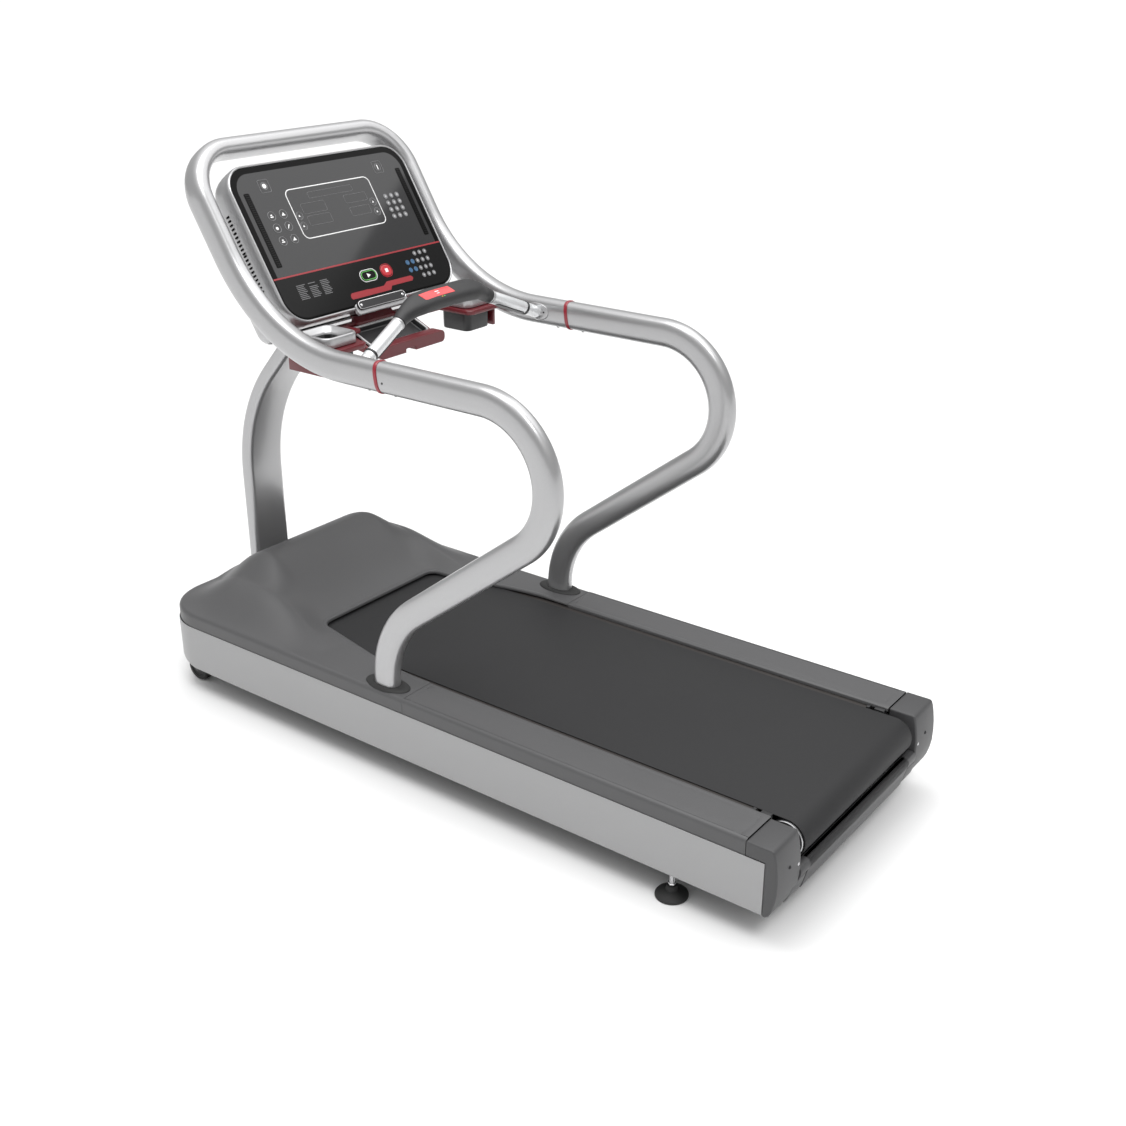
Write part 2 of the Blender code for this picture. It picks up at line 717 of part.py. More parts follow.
def make_lift():
    """The incline mechanism: a swinging frame on two wheels, and the screw that drives it."""
    py, pz = LIFT_PIVOT
    wy, wz = WHEEL_AT
    frame = turned("lift_frame", drum(0.018, -0.3190, 0.3190), (0, py, pz), "X", "frame_paint", 16, False)
    reach = math.hypot(wy - py, wz - pz)
    slope = math.atan2(wz - pz, wy - py)
    for side, letter in ((-1, "l"), (1, "r")):
        x = sorted((side * 0.292, side * 0.306))
        arm = box("lift_arm_" + letter, (x[0], 0, -0.017), (x[1], reach, 0.017), "frame_paint")
        arm.matrix_world = Matrix.Translation((0, py, pz)) @ Matrix.Rotation(slope, 4, "X") @ arm.matrix_basis
        join(frame, arm)
        stub = drum(0.0085, min(side * 0.300, side * 0.361), max(side * 0.300, side * 0.361))
        join(frame, turned("stub_" + letter, stub, (0, wy, wz), "X", "steel", 16, False))
        wheel = [(0.040, 0.012), (0.040, -0.012), (0.036, -0.017), (0.0090, -0.017), (0.0090, 0.017), (0.036, 0.017)]
        turned("lift_wheel_" + letter, wheel, (side * WHEEL_X, wy, wz), "X", "rubber", 24)
    cross = turned("lift_cross", drum(0.012, -0.300, 0.300), (0, wy - 0.05, wz + 0.012), "X", "steel", 12, False)
    join(frame, cross)
    horn = arc(0, 0, 0.016, -180, 0, 6) + arc(0, HORN, 0.016, 0, 180, 8)
    horn = [(-y, z) for y, z in horn][::-1]
    eye = ellipse(0, HORN, 0.0115, 0.0115, 16)
    plate = side_view("lift_horn", [horn, eye], HORN_X - 0.005, HORN_X + 0.005, "frame_paint")
    turn = Matrix.Translation((0, py, pz)) @ Matrix.Rotation(-HORN_LEAN, 4, "X")
    plate.matrix_world = turn @ plate.matrix_basis
    join(frame, plate)


def make_elevation_drive():
    py, pz = LIFT_PIVOT
    pin_y = py + HORN * math.sin(HORN_LEAN)
    z = 0.190
    screw = turned("elevation_screw", drum(0.0136, 0.653, 0.800), (HORN_X, 0, z), "Y", "steel", 16, False)
    join(screw, box("fork_block", (HORN_X - 0.0135, 0.643, z - 0.0135), (HORN_X + 0.0135, 0.655, z + 0.0135), "steel"))
    for side in (-1, 1):
        x = sorted((HORN_X + side * 0.0085, HORN_X + side * 0.0133))
        join(screw, box("cheek_%d" % side, (x[0], pin_y - 0.013, z - 0.013), (x[1], 0.646, z + 0.013), "steel"))
    pin = turned("fork_pin", drum(0.006, -0.0125, 0.0125), (HORN_X, pin_y, z), "X", "steel", 12, False)
    join(screw, pin)
    motor = turned("elevation_motor", drum(0.021, 0.720, 0.880), (HORN_X, 0, z), "Y", "frame_paint", 20, False)
    join(motor, box("gearbox", (-0.212, 0.876, 0.150), (-0.128, 0.9305, 0.236), "frame_paint"))
    body = turned("gear_motor", drum(0.032, -0.295, -0.205), (0, 0.8985, 0.196), "X", "frame_paint", 20, False)
    join(motor, body)
    cut(motor, turned("screw_bore", drum(0.0142, 0.70, 0.872), (HORN_X, 0, z), "Y", "steel", 16, False))


def make_levelling_feet():
    for side, letter in ((-1, "l"), (1, "r")):
        profile = [(0, 0.150), (0.0060, 0.150), (0.0060, FRAME_BOTTOM - GAP), (0.0110, FRAME_BOTTOM - GAP)]
        profile += [(0.0110, 0.088), (0.0060, 0.088), (0.0060, 0.034), (0.012, 0.030), (0.014, 0.020)]
        profile += [(0.030, 0.014), (0.039, 0.008), (0.040, 0.003), (0.038, 0.0), (0, 0.0)]
        at = (side * FOOT_AT[0], FOOT_AT[1], 0)
        turned("levelling_foot_" + letter, profile, at, "Z", "black_plastic", 24, closed=False)


# --- Mast and rails ------------------------------------------------------------------------------


def mast_path():
    bend_y = MAST_Y - MAST_BEND
    path = [(0, MAST_Y, 0.105), (0, MAST_Y, 0.300)]
    path += [(0, y, z) for y, z in arc(bend_y, MAST_BEND_Z, MAST_BEND, 0, math.degrees(MAST_LEAN), 8)]
    _, y, z = path[-1]
    run = 0.400
    return path + [(0, y - run * math.sin(MAST_LEAN), z + run * math.cos(MAST_LEAN))]


def handrail_path(x):
    """From the foot up, back, round and forward to the collar, in one upright plane."""
    centre = (TUBE_REAR + TUBE_BEND, TUBE_TOP - TUBE_BEND)
    slope = math.degrees(TUBE_SLOPE)
    rear = arc(*centre, TUBE_BEND, 270 - slope, 90, 12)
    y0, z0 = rear[0]
    start_y = FOOT_Y - FOOT_BEND + FOOT_BEND * math.sin(TUBE_SLOPE)
    start_z = z0 - (start_y - y0) * math.tan(TUBE_SLOPE)
    foot_z = start_z - FOOT_BEND * math.cos(TUBE_SLOPE)
    foot = arc(FOOT_Y - FOOT_BEND, foot_z, FOOT_BEND, 0, 90 - slope, 6)
    path = [(FOOT_Y, FRAME_TOP + GAP)] + foot + rear + [(COLLAR_Y - 0.0003, TUBE_TOP)]
    return [(x, y, z) for y, z in path]


def loop_path():
    """The upper tube: forward from one collar, up, across behind the console and back down."""
    tilt = math.degrees(LOOP_TILT)
    bend = arc(LOOP_BEND_Y, TUBE_TOP + LOOP_BEND, LOOP_BEND, 270, 270 + tilt, 8)
    side = [(COLLAR_Y + 0.0003, TUBE_TOP)] + bend
    y0, z0 = side[-1]
    run = (LOOP_TOP - z0) / math.sin(LOOP_TILT)
    cos, sin = math.cos(LOOP_TILT), math.sin(LOOP_TILT)
    path = [(-TUBE_X, y, z) for y, z in side]
    for across, along in arc(-TUBE_X + LOOP_CORNER, run - LOOP_CORNER, LOOP_CORNER, 180, 90, 6):
        path.append((across, y0 + along * cos, z0 + along * sin))
    return path + [(-x, y, z) for x, y, z in path[::-1]]


def make_tubes():
    section = oval_section("tube_section", TUBE_A, TUBE_B)
    for side, letter in ((-1, "l"), (1, "r")):
        x = side * TUBE_X
        swept("handrail_" + letter, handrail_path(x), section, "silver_paint", TUBE_WALL)
        inner = ellipse(x, TUBE_TOP, TUBE_A + GAP, TUBE_B + GAP)
        outer = ellipse(x, TUBE_TOP, TUBE_A + 0.0022, TUBE_B + 0.0022)
        ring = outline("collar_" + letter, [outer, inner], 0.009, "red_plastic")
        ring.matrix_world = Matrix(((1, 0, 0, 0), (0, 0, 1, COLLAR_Y), (0, 1, 0, 0), (0, 0, 0, 1)))
        foot_in = ellipse(x, FOOT_Y, TUBE_A + 0.0008, TUBE_B + 0.0008)
        foot_out = ellipse(x, FOOT_Y, 0.0365, 0.0720)
        plan_view("rail_grommet_" + letter, [foot_out, foot_in], RAIL_TOP + 0.0008, RAIL_TOP + 0.010, "rubber")
    swept("console_loop", loop_path(), section, "silver_paint", TUBE_WALL)


def make_mast():
    section = rounded_section("mast_section", MAST_HALF, MAST_DEEP / 2, 0.016)
    swept("mast", mast_path(), section, "silver_paint", TUBE_WALL)


# --- Console -------------------------------------------------------------------------------------


def console_empty():
    """The console's own frame: X across, Y up the face, Z out of the face towards the user."""
    empty = bpy.data.objects.new("console_plane", None)
    collection.objects.link(empty)
    empty.location = FACE_ORIGIN
    empty.rotation_euler = (FACE_TILT, 0, 0)
    bpy.context.view_layer.update()
    return empty


def slab(name, loops, z_low, z_high, slot, parent):
    obj = plan_view(name, loops, z_low, z_high, slot)
    obj.parent = parent
    return obj


def make_console(plane):
    face = rounded_rectangle(-FACE_HALF, 0, FACE_HALF, FACE_HIGH, 0.062)
    rim = rounded_rectangle(-FACE_HALF - 0.008, -0.010, FACE_HALF + 0.008, FACE_HIGH + 0.008, 0.070)
    inner = rounded_rectangle(-FACE_HALF - 0.0006, -0.0006, FACE_HALF + 0.0006, FACE_HIGH + 0.0006, 0.0626)
    shell = slab("console_shell", [rim], -SHELL_DEEP, -0.0015, "silver_plastic", plane)
    cut(shell, slab("shell_hollow", [inner], -SHELL_DEEP + 0.004, 0.02, "silver_paint", plane))
    plate = slab("console_face", [face], -0.007, 0.0, "face_overlay", plane)
    start = rounded_rectangle(-0.0295, 0.0565, 0.0295, 0.0865, 0.0148)
    stop = rounded_rectangle(0.048, 0.0555, 0.090, 0.0905, 0.0165)
    for name, loop, slot in (("start_button", start, "green_key"), ("stop_button", stop, "red_plastic")):
        cut(plate, slab(name + "_hole", [loop], -0.02, 0.02, "steel", plane))
        centre = Vector((sum(p[0] for p in loop) / len(loop), sum(p[1] for p in loop) / len(loop)))
        smaller = [tuple(centre + (Vector(p) - centre) * 0.97) for p in loop]
        slab(name, [smaller], -0.0095, 0.0012, slot, plane)
    board = rounded_rectangle(-0.240, 0.050, 0.240, 0.370, 0.006, 2)
    slab("console_board", [board], -0.0300, -0.0284, "circuit", plane)
    port = rounded_rectangle(-0.090, -0.0150, 0.090, 0.0105, 0.012)
    slab("port_plate", [port], 0.0006, 0.0100, "black_plastic", plane)


def make_shroud(plane):
    """The rear housing low behind the console, open at its front and where the mast comes in."""
    outer = rounded_rectangle(-0.285, -0.008, 0.285, 0.205, 0.045)
    inner = rounded_rectangle(-0.281, -0.004, 0.281, 0.201, 0.041)
    deep = -0.205
    shroud = slab("mast_shroud", [outer], deep, -SHELL_DEEP - GAP, "silver_plastic", plane)
    cut(shroud, slab("shroud_hollow", [inner], deep + 0.004, 0.0, "silver_paint", plane))
    path = [Vector(p) for p in mast_path()]
    top = path[-1]
    lean = (path[-1] - path[-2]).normalized()
    hole = box("mast_entry", (-0.0665, -0.0245, -0.14), (0.0665, 0.0245, 0.02), "steel")
    hole.matrix_world = (
        Matrix.Translation(top) @ lean.to_track_quat("Z", "X").to_matrix().to_4x4() @ hole.matrix_basis
    )
    if abs((hole.matrix_world.to_3x3() @ Vector((1, 0, 0))).x) < 0.9:
        hole.matrix_world = hole.matrix_world @ Matrix.Rotation(math.radians(90), 4, "Z")
    cut(shroud, hole)


# --- Grips, cups and tray ------------------------------------------------------------------------


def make_grips():
    inner = TUBE_X - TUBE_A
    ends = ((inner - 0.0073, 0.2050, 1.0960), (0.176, 0.232, 1.1650))
    for side, letter in ((-1, "l"), (1, "r")):
        points = [(side * x, y, z) for x, y, z in ends]
        rod("grip_" + letter, points, 0.0170, "steel", 4)
    start = Vector((-0.1752, 0.2321, 1.1654))
    lean = (Vector((-ends[1][0], *ends[1][1:])) - Vector((-ends[0][0], *ends[0][1:]))).normalized()
    path = [start, start + lean * 0.022]
    path += [Vector((x, 0.226 + 0.004, 1.200 - 0.95 * x * x)) for x in (-0.110, -0.060, 0.0)]
    path += [Vector((-p.x, p.y, p.z)) for p in path[:-1][::-1]]
    section = oval_section("bar_section", 0.0250, 0.0220)
    swept("grip_bar", [tuple(p) for p in path], section, "black_plastic")


def make_holders():
    """Two cup holders let into a shelf, which carries a lip and walls round the sloping rack."""
    shelf = box("tray_base", (-0.3350, 0.318, 1.0940), (0.3350, 0.505, 1.1070), "red_plastic", bevel=0.004)
    for side, letter in ((-1, "l"), (1, "r")):
        middle = (side * CUP_AT[0], CUP_AT[1])

        def square(reach, radius):
            return rounded_rectangle(
                middle[0] - reach, middle[1] - reach, middle[0] + reach, middle[1] + reach, radius, 3
            )

        cup = plan_view("cup_holder_" + letter, [square(CUP_HALF, 0.026)], 1.1080, 1.1350, "silver_plastic")
        join(cup, plan_view("cup_neck_" + letter, [square(CUP_NECK, 0.020)], 1.0400, 1.1100, "silver_paint"))
        pocket = ellipse(*middle, POCKET_R, POCKET_R, 24)
        cut(cup, plan_view("cup_pocket_" + letter, [pocket], 1.0440, 1.2, "silver_paint"))
        hole = square(CUP_NECK + 0.0006, 0.0206)
        cut(shelf, plan_view("cup_hole_" + letter, [hole], 1.0, 1.2, "red_plastic"))
        gap = sorted((side * 0.1250, side * 0.1970))
        cut(shelf, box("shelf_gap_" + letter, (gap[0], 0.30, 1.0), (gap[1], 0.430, 1.2), "red_plastic"))
        wing = sorted((side * 0.3235, side * 0.3340))
        join(shelf, box("shelf_wing_" + letter, (wing[0], 0.345, 1.040), (wing[1], 0.470, 1.1000), "red_plastic"))
    cut(shelf, box("rack_gap", (-0.1142, 0.30, 1.0), (0.1142, 0.485, 1.2), "red_plastic"))
    join(shelf, box("tray_lip", (-0.1250, 0.350, 1.0360), (0.1250, 0.388, 1.0680), "red_plastic", bevel=0.008))
    slope = [(0.380, 1.0400), (0.495, 1.0600), (0.495, 1.0995), (0.482, 1.0995), (0.380, 1.0540)]
    for side in (-1, 1):
        wall_x = sorted((side * 0.1150, side * 0.1240))
        join(shelf, side_view("rack_wall", [slope], *wall_x, "red_plastic"))
    cut(shelf, box("cable_notch", (-0.028, 0.30, 1.0), (0.010, 0.42, 1.0460), "red_plastic"))
    join(shelf, box("tray_riser", (-0.075, 0.488, 1.1000), (0.075, 0.508, 1.1150), "red_plastic"))


def make_accessory_tray():
    """The sloping rack between the cup holders, hollow on top."""
    place = Matrix.Translation((0, 0.3965, 1.045)) @ Matrix.Rotation(math.radians(24), 4, "X")
    tray = box("accessory_tray", (-0.1135, 0.0, 0.0), (0.1135, 0.092, 0.018), "black_plastic")
    hollow = box("tray_hollow", (-0.1055, 0.006, 0.005), (0.1055, 0.084, 0.05), "black_plastic")
    for obj in (tray, hollow):
        obj.matrix_world = place @ obj.matrix_basis
    cut(tray, hollow)


def build():
    clear_scene()
    make_collections()
    make_palette()
    make_frame()
    make_panels()
    make_power_entry()
    make_foot_rails()
    make_hood()
    make_end_caps()
    make_rear_guard()
    make_deck()
    height = make_belt()
    make_rollers(height)
    make_drive(height)
    make_lift()
    make_elevation_drive()
    make_levelling_feet()
    make_mast()
    make_tubes()
    plane = console_empty()
    make_console(plane)
    make_shroud(plane)
    make_grips()
    make_holders()
    make_accessory_tray()


build()
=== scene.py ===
import json
import math

import bmesh
import bpy
import numpy as np
from mathutils import Matrix, Vector


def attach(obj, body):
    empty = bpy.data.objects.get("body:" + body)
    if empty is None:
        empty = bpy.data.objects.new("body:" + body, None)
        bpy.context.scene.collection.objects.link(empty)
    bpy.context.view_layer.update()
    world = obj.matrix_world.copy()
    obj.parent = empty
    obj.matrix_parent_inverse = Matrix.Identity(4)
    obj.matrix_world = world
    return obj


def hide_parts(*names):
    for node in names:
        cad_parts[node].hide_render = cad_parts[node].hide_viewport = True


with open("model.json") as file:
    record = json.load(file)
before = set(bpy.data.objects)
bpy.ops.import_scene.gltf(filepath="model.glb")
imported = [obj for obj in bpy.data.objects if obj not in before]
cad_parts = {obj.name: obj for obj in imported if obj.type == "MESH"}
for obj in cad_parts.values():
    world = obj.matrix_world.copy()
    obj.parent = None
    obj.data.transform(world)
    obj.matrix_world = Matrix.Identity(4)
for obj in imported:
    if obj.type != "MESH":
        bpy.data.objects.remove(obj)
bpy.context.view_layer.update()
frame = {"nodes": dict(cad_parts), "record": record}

for extra in ("Cube", "Light", "Camera"):
    if extra in bpy.data.objects and extra not in frame["nodes"]:
        bpy.data.objects.remove(bpy.data.objects[extra])

# finishes: shared node groups first, then one material for each surface


def groupSockets(tree, inputs, outputs):
    for label, kind, value in inputs:
        socket = tree.interface.new_socket(label, in_out="INPUT", socket_type=kind)
        if value is not None:
            socket.default_value = value
    for label, kind in outputs:
        tree.interface.new_socket(label, in_out="OUTPUT", socket_type=kind)
    return tree.nodes.new("NodeGroupInput"), tree.nodes.new("NodeGroupOutput")


def mathNode(tree, operation, first, second):
    node = tree.nodes.new("ShaderNodeMath")
    node.operation = operation
    for slotIndex, value in enumerate((first, second)):
        if isinstance(value, (int, float)):
            node.inputs[slotIndex].default_value = value
        else:
            tree.links.new(value, node.inputs[slotIndex])
    return node.outputs[0]


def noiseNode(tree, vector, scale, detail=3.0, roughness=0.5):
    node = tree.nodes.new("ShaderNodeTexNoise")
    node.inputs["Detail"].default_value = detail
    node.inputs["Roughness"].default_value = roughness
    tree.links.new(vector, node.inputs["Vector"])
    if isinstance(scale, (int, float)):
        node.inputs["Scale"].default_value = scale
    else:
        tree.links.new(scale, node.inputs["Scale"])
    return node.outputs["Fac"]


def makeGrainGroup():
    tree = bpy.data.node_groups.new("surfaceGrain", "ShaderNodeTree")
    start, end = groupSockets(
        tree,
        [("Vector", "NodeSocketVector", None), ("Grain", "NodeSocketFloat", 900.0),
         ("Pebble", "NodeSocketFloat", 0.5)],
        [("Height", "NodeSocketFloat"), ("Mask", "NodeSocketFloat")],
    )
    fine = noiseNode(tree, start.outputs["Vector"], start.outputs["Grain"], 2.0)
    cells = tree.nodes.new("ShaderNodeTexVoronoi")
    cells.feature = "SMOOTH_F1"
    tree.links.new(start.outputs["Vector"], cells.inputs["Vector"])
    tree.links.new(start.outputs["Grain"], cells.inputs["Scale"])
    pebble = mathNode(tree, "MULTIPLY", cells.outputs["Distance"], start.outputs["Pebble"])
    tree.links.new(mathNode(tree, "SUBTRACT", fine, pebble), end.inputs["Height"])
    tree.links.new(fine, end.inputs["Mask"])
    return tree


def makeWearGroup():
    tree = bpy.data.node_groups.new("handlingMarks", "ShaderNodeTree")
    start, end = groupSockets(
        tree,
        [("Vector", "NodeSocketVector", None), ("Size", "NodeSocketFloat", 6.0),
         ("Amount", "NodeSocketFloat", 0.1)],
        [("Shift", "NodeSocketFloat"), ("Cloud", "NodeSocketFloat")],
    )
    cloud = noiseNode(tree, start.outputs["Vector"], start.outputs["Size"], 5.0, 0.62)
    streaks = noiseNode(tree, start.outputs["Vector"], 140.0, 2.0, 0.7)
    both = mathNode(tree, "ADD", mathNode(tree, "MULTIPLY", cloud, 0.75),
                    mathNode(tree, "MULTIPLY", streaks, 0.25))
    centred = mathNode(tree, "SUBTRACT", both, 0.5)
    tree.links.new(mathNode(tree, "MULTIPLY", centred, start.outputs["Amount"]), end.inputs["Shift"])
    tree.links.new(cloud, end.inputs["Cloud"])
    return tree


def makeFlakeGroup():
    tree = bpy.data.node_groups.new("metalFlake", "ShaderNodeTree")
    start, end = groupSockets(
        tree,
        [("Vector", "NodeSocketVector", None), ("Flakes", "NodeSocketFloat", 2600.0),
         ("Dark", "NodeSocketColor", (0.3, 0.3, 0.3, 1)),
         ("Light", "NodeSocketColor", (0.5, 0.5, 0.5, 1))],
        [("Colour", "NodeSocketColor")],
    )
    cells = tree.nodes.new("ShaderNodeTexVoronoi")
    tree.links.new(start.outputs["Vector"], cells.inputs["Vector"])
    tree.links.new(start.outputs["Flakes"], cells.inputs["Scale"])
    level = tree.nodes.new("ShaderNodeSeparateColor")
    tree.links.new(cells.outputs["Color"], level.inputs["Color"])
    mix = tree.nodes.new("ShaderNodeMix")
    mix.data_type = "RGBA"
    tree.links.new(level.outputs["Red"], mix.inputs["Factor"])
    tree.links.new(start.outputs["Dark"], mix.inputs[6])
    tree.links.new(start.outputs["Light"], mix.inputs[7])
    tree.links.new(mix.outputs[2], end.inputs["Colour"])
    return tree


grainGroup, wearGroup, flakeGroup = makeGrainGroup(), makeWearGroup(), makeFlakeGroup()


def makeFinish(name, colour, rough, metal=0.0, coat=0.0, coatRough=0.08, grain=900.0, pebble=0.5, bump=0.15,
               depth=0.00012, marks=0.10, markSize=6.0, tint=0.07, flake=0.0, specular=0.5):
    material = bpy.data.materials.new(name)
    material.use_nodes = True
    tree = material.node_tree
    shader = tree.nodes["Principled BSDF"]
    where = tree.nodes.new("ShaderNodeTexCoord").outputs["Object"]
    shader.inputs["Metallic"].default_value = metal
    shader.inputs["Coat Weight"].default_value = coat
    shader.inputs["Coat Roughness"].default_value = coatRough
    shader.inputs["Specular IOR Level"].default_value = specular
    wear = tree.nodes.new("ShaderNodeGroup")
    wear.node_tree = wearGroup
    wear.inputs["Size"].default_value = markSize
    wear.inputs["Amount"].default_value = marks
    tree.links.new(where, wear.inputs["Vector"])
    tree.links.new(mathNode(tree, "ADD", wear.outputs["Shift"], rough), shader.inputs["Roughness"])
    dark = [c * (1 - tint) for c in colour] + [1]
    light = [min(1, c * (1 + tint)) for c in colour] + [1]
    if flake:
        paint = tree.nodes.new("ShaderNodeGroup")
        paint.node_tree = flakeGroup
        paint.inputs["Flakes"].default_value = flake
        paint.inputs["Dark"].default_value = dark
        paint.inputs["Light"].default_value = light
        tree.links.new(where, paint.inputs["Vector"])
        tree.links.new(paint.outputs["Colour"], shader.inputs["Base Color"])
    else:
        mix = tree.nodes.new("ShaderNodeMix")
        mix.data_type = "RGBA"
        mix.inputs[6].default_value = dark
        mix.inputs[7].default_value = light
        tree.links.new(wear.outputs["Cloud"], mix.inputs["Factor"])
        tree.links.new(mix.outputs[2], shader.inputs["Base Color"])
    skin = tree.nodes.new("ShaderNodeGroup")
    skin.node_tree = grainGroup
    skin.inputs["Grain"].default_value = grain
    skin.inputs["Pebble"].default_value = pebble
    tree.links.new(where, skin.inputs["Vector"])
    relief = tree.nodes.new("ShaderNodeBump")
    relief.inputs["Strength"].default_value = bump
    relief.inputs["Distance"].default_value = depth
    tree.links.new(skin.outputs["Height"], relief.inputs["Height"])
    tree.links.new(relief.outputs["Normal"], shader.inputs["Normal"])
    return material


finishes = {
    "tubeSilver": makeFinish("tubeSilver", (0.43, 0.43, 0.435), 0.30, 0.75, 0.5, flake=2600, bump=0.05,
                             marks=0.06, tint=0.09),
    "caseSilver": makeFinish("caseSilver", (0.43, 0.43, 0.435), 0.33, 0.65, 0.4, flake=2600, bump=0.06,
                             marks=0.06, tint=0.08),
    "panelSilver": makeFinish("panelSilver", (0.33, 0.33, 0.333), 0.42, 0.25, 0.1, flake=3000, bump=0.08,
                              marks=0.08, tint=0.06),
    "hoodGrey": makeFinish("hoodGrey", (0.078, 0.078, 0.080), 0.44, bump=0.35, grain=1100, pebble=0.8,
                           marks=0.10, tint=0.05),
    "capGrey": makeFinish("capGrey", (0.055, 0.055, 0.057), 0.46, bump=0.35, grain=1100, pebble=0.8, marks=0.10,
                          tint=0.05),
    "beltBlack": makeFinish("beltBlack", (0.024, 0.024, 0.025), 0.66, bump=0.55, grain=700, pebble=1.0,
                            depth=0.0003,
                            marks=0.14, markSize=3.0, tint=0.12, specular=0.30),
    "blackPlastic": makeFinish("blackPlastic", (0.016, 0.016, 0.017), 0.36, bump=0.25, grain=1300, marks=0.10),
    "softBlack": makeFinish("softBlack", (0.019, 0.019, 0.020), 0.54, bump=0.5, grain=1500, pebble=1.0,
                            marks=0.08),
    "rubber": makeFinish("rubber", (0.018, 0.018, 0.018), 0.68, bump=0.4, grain=800, marks=0.12, tint=0.15),
    "darkRubber": makeFinish("darkRubber", (0.035, 0.035, 0.036), 0.60, bump=0.3, grain=900, marks=0.10),
    "framePaint": makeFinish("framePaint", (0.045, 0.045, 0.048), 0.50, 0.0, bump=0.5, grain=600, pebble=0.9,
                             marks=0.12),
    "steel": makeFinish("steel", (0.55, 0.55, 0.56), 0.30, 1.0, bump=0.12, grain=1600, marks=0.14, tint=0.06),
    "chrome": makeFinish("chrome", (0.80, 0.80, 0.81), 0.12, 1.0, bump=0.02, marks=0.05, tint=0.03),
    "gripWhite": makeFinish("gripWhite", (0.72, 0.73, 0.74), 0.26, 0.45, 0.5, bump=0.03, marks=0.05, tint=0.03),
    "deckBoard": makeFinish("deckBoard", (0.030, 0.026, 0.024), 0.55, bump=0.3, grain=300, marks=0.10),
    "bezelBlack": makeFinish("bezelBlack", (0.003, 0.003, 0.003), 0.12, specular=0.08, bump=0.02, marks=0.03),
    "faceGrey": makeFinish("faceGrey", (0.016, 0.016, 0.017), 0.07, specular=0.5, bump=0.01, marks=0.03,
                           tint=0.03),
    "faceDark": makeFinish("faceDark", (0.007, 0.007, 0.007), 0.14, specular=0.14, bump=0.02, marks=0.03),
    "printWhite": makeFinish("printWhite", (0.80, 0.80, 0.80), 0.40, bump=0.05, marks=0.05, tint=0.03),
    "printGrey": makeFinish("printGrey", (0.17, 0.17, 0.175), 0.40, bump=0.05, marks=0.05, tint=0.04),
    "printRed": makeFinish("printRed", (0.29, 0.008, 0.016), 0.30, bump=0.03, marks=0.05, coat=0.2),
    "stopRed": makeFinish("stopRed", (0.45, 0.012, 0.022), 0.28, bump=0.03, marks=0.05, coat=0.2),
    "printPale": makeFinish("printPale", (0.46, 0.46, 0.47), 0.40, bump=0.05, marks=0.05, tint=0.04),
    "printBlue": makeFinish("printBlue", (0.035, 0.11, 0.22), 0.35, bump=0.03, marks=0.05),
    "printGreen": makeFinish("printGreen", (0.10, 0.42, 0.08), 0.35, bump=0.03, marks=0.05),
    "printAmber": makeFinish("printAmber", (0.62, 0.34, 0.03), 0.35, bump=0.03, marks=0.05),
    "brightRed": makeFinish("brightRed", (0.78, 0.035, 0.040), 0.28, bump=0.03, marks=0.05, coat=0.3),
    "collarRed": makeFinish("collarRed", (0.26, 0.010, 0.022), 0.28, coat=0.4, bump=0.04, marks=0.06),
    "trayRed": makeFinish("trayRed", (0.125, 0.010, 0.015), 0.36, coat=0.15, bump=0.12, marks=0.10),
    "circuit": makeFinish("circuit", (0.02, 0.14, 0.05), 0.40, bump=0.2, marks=0.08),
}

slotFinish = {
    "silver_paint": "tubeSilver", "silver_plastic": "caseSilver", "panel_silver": "panelSilver",
              "dark_plastic": "hoodGrey",
    "belt_rubber": "beltBlack", "frame_paint": "framePaint", "steel": "steel", "rubber": "rubber",
              "deck_board": "deckBoard",
    "black_plastic": "blackPlastic", "face_overlay": "faceGrey", "red_plastic": "trayRed",
              "green_key": "printGreen",
    "circuit": "circuit",
}
for part in frame["record"]["subparts"]:
    node = frame["nodes"][part["node"]]
    node.data.materials.clear()
    node.data.materials.append(finishes[slotFinish[part["material_slot"]]])
print("finishes ready")

# mesh helpers


def addPiece(name, solid, finish, body="chassis", stands=(), sharp=38):
    points, faces = solid
    mesh = bpy.data.meshes.new(name)
    mesh.from_pydata([tuple(float(c) for c in p) for p in points], [], [tuple(f) for f in faces])
    shape = bmesh.new()
    shape.from_mesh(mesh)
    bmesh.ops.remove_doubles(shape, verts=shape.verts, dist=0.000004)
    bmesh.ops.dissolve_degenerate(shape, edges=shape.edges, dist=0.000004)
    bmesh.ops.recalc_face_normals(shape, faces=shape.faces)
    shape.to_mesh(mesh)
    shape.free()
    return addMesh(name, mesh, finish, body, stands, sharp)


def addMesh(name, mesh, finish, body="chassis", stands=(), sharp=38):
    mesh.materials.clear()
    mesh.materials.append(finishes[finish])
    mesh.shade_smooth()
    mesh.set_sharp_from_angle(angle=math.radians(sharp))
    for polygon in mesh.polygons:
        polygon.use_smooth = len(polygon.vertices) < 7
    piece = bpy.data.objects.new(name, mesh)
    bpy.context.scene.collection.objects.link(piece)
    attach(piece, body)
    if stands:
        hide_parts(*stands)
    return piece


def merge(*solids):
    points, faces = [], []
    for somePoints, someFaces in solids:
        shift = len(points)
        points.extend(somePoints)
        faces.extend(tuple(i + shift for i in f) for f in someFaces)
    return points, faces


def loft(rings, caps=(True, True), around=True, along=False):
    count, rows = len(rings[0]), len(rings)
    points = [p for ring in rings for p in ring]
    faces = []
    for i in range(rows - 1 + along):
        a, b = i * count, ((i + 1) % rows) * count
        for j in range(count if around else count - 1):
            k = (j + 1) % count
            faces.append((a + j, a + k, b + k, b + j))
    if caps[0]:
        faces.append(tuple(range(count))[::-1])
    if caps[1]:
        faces.append(tuple((rows - 1) * count + j for j in range(count)))
    return points, faces


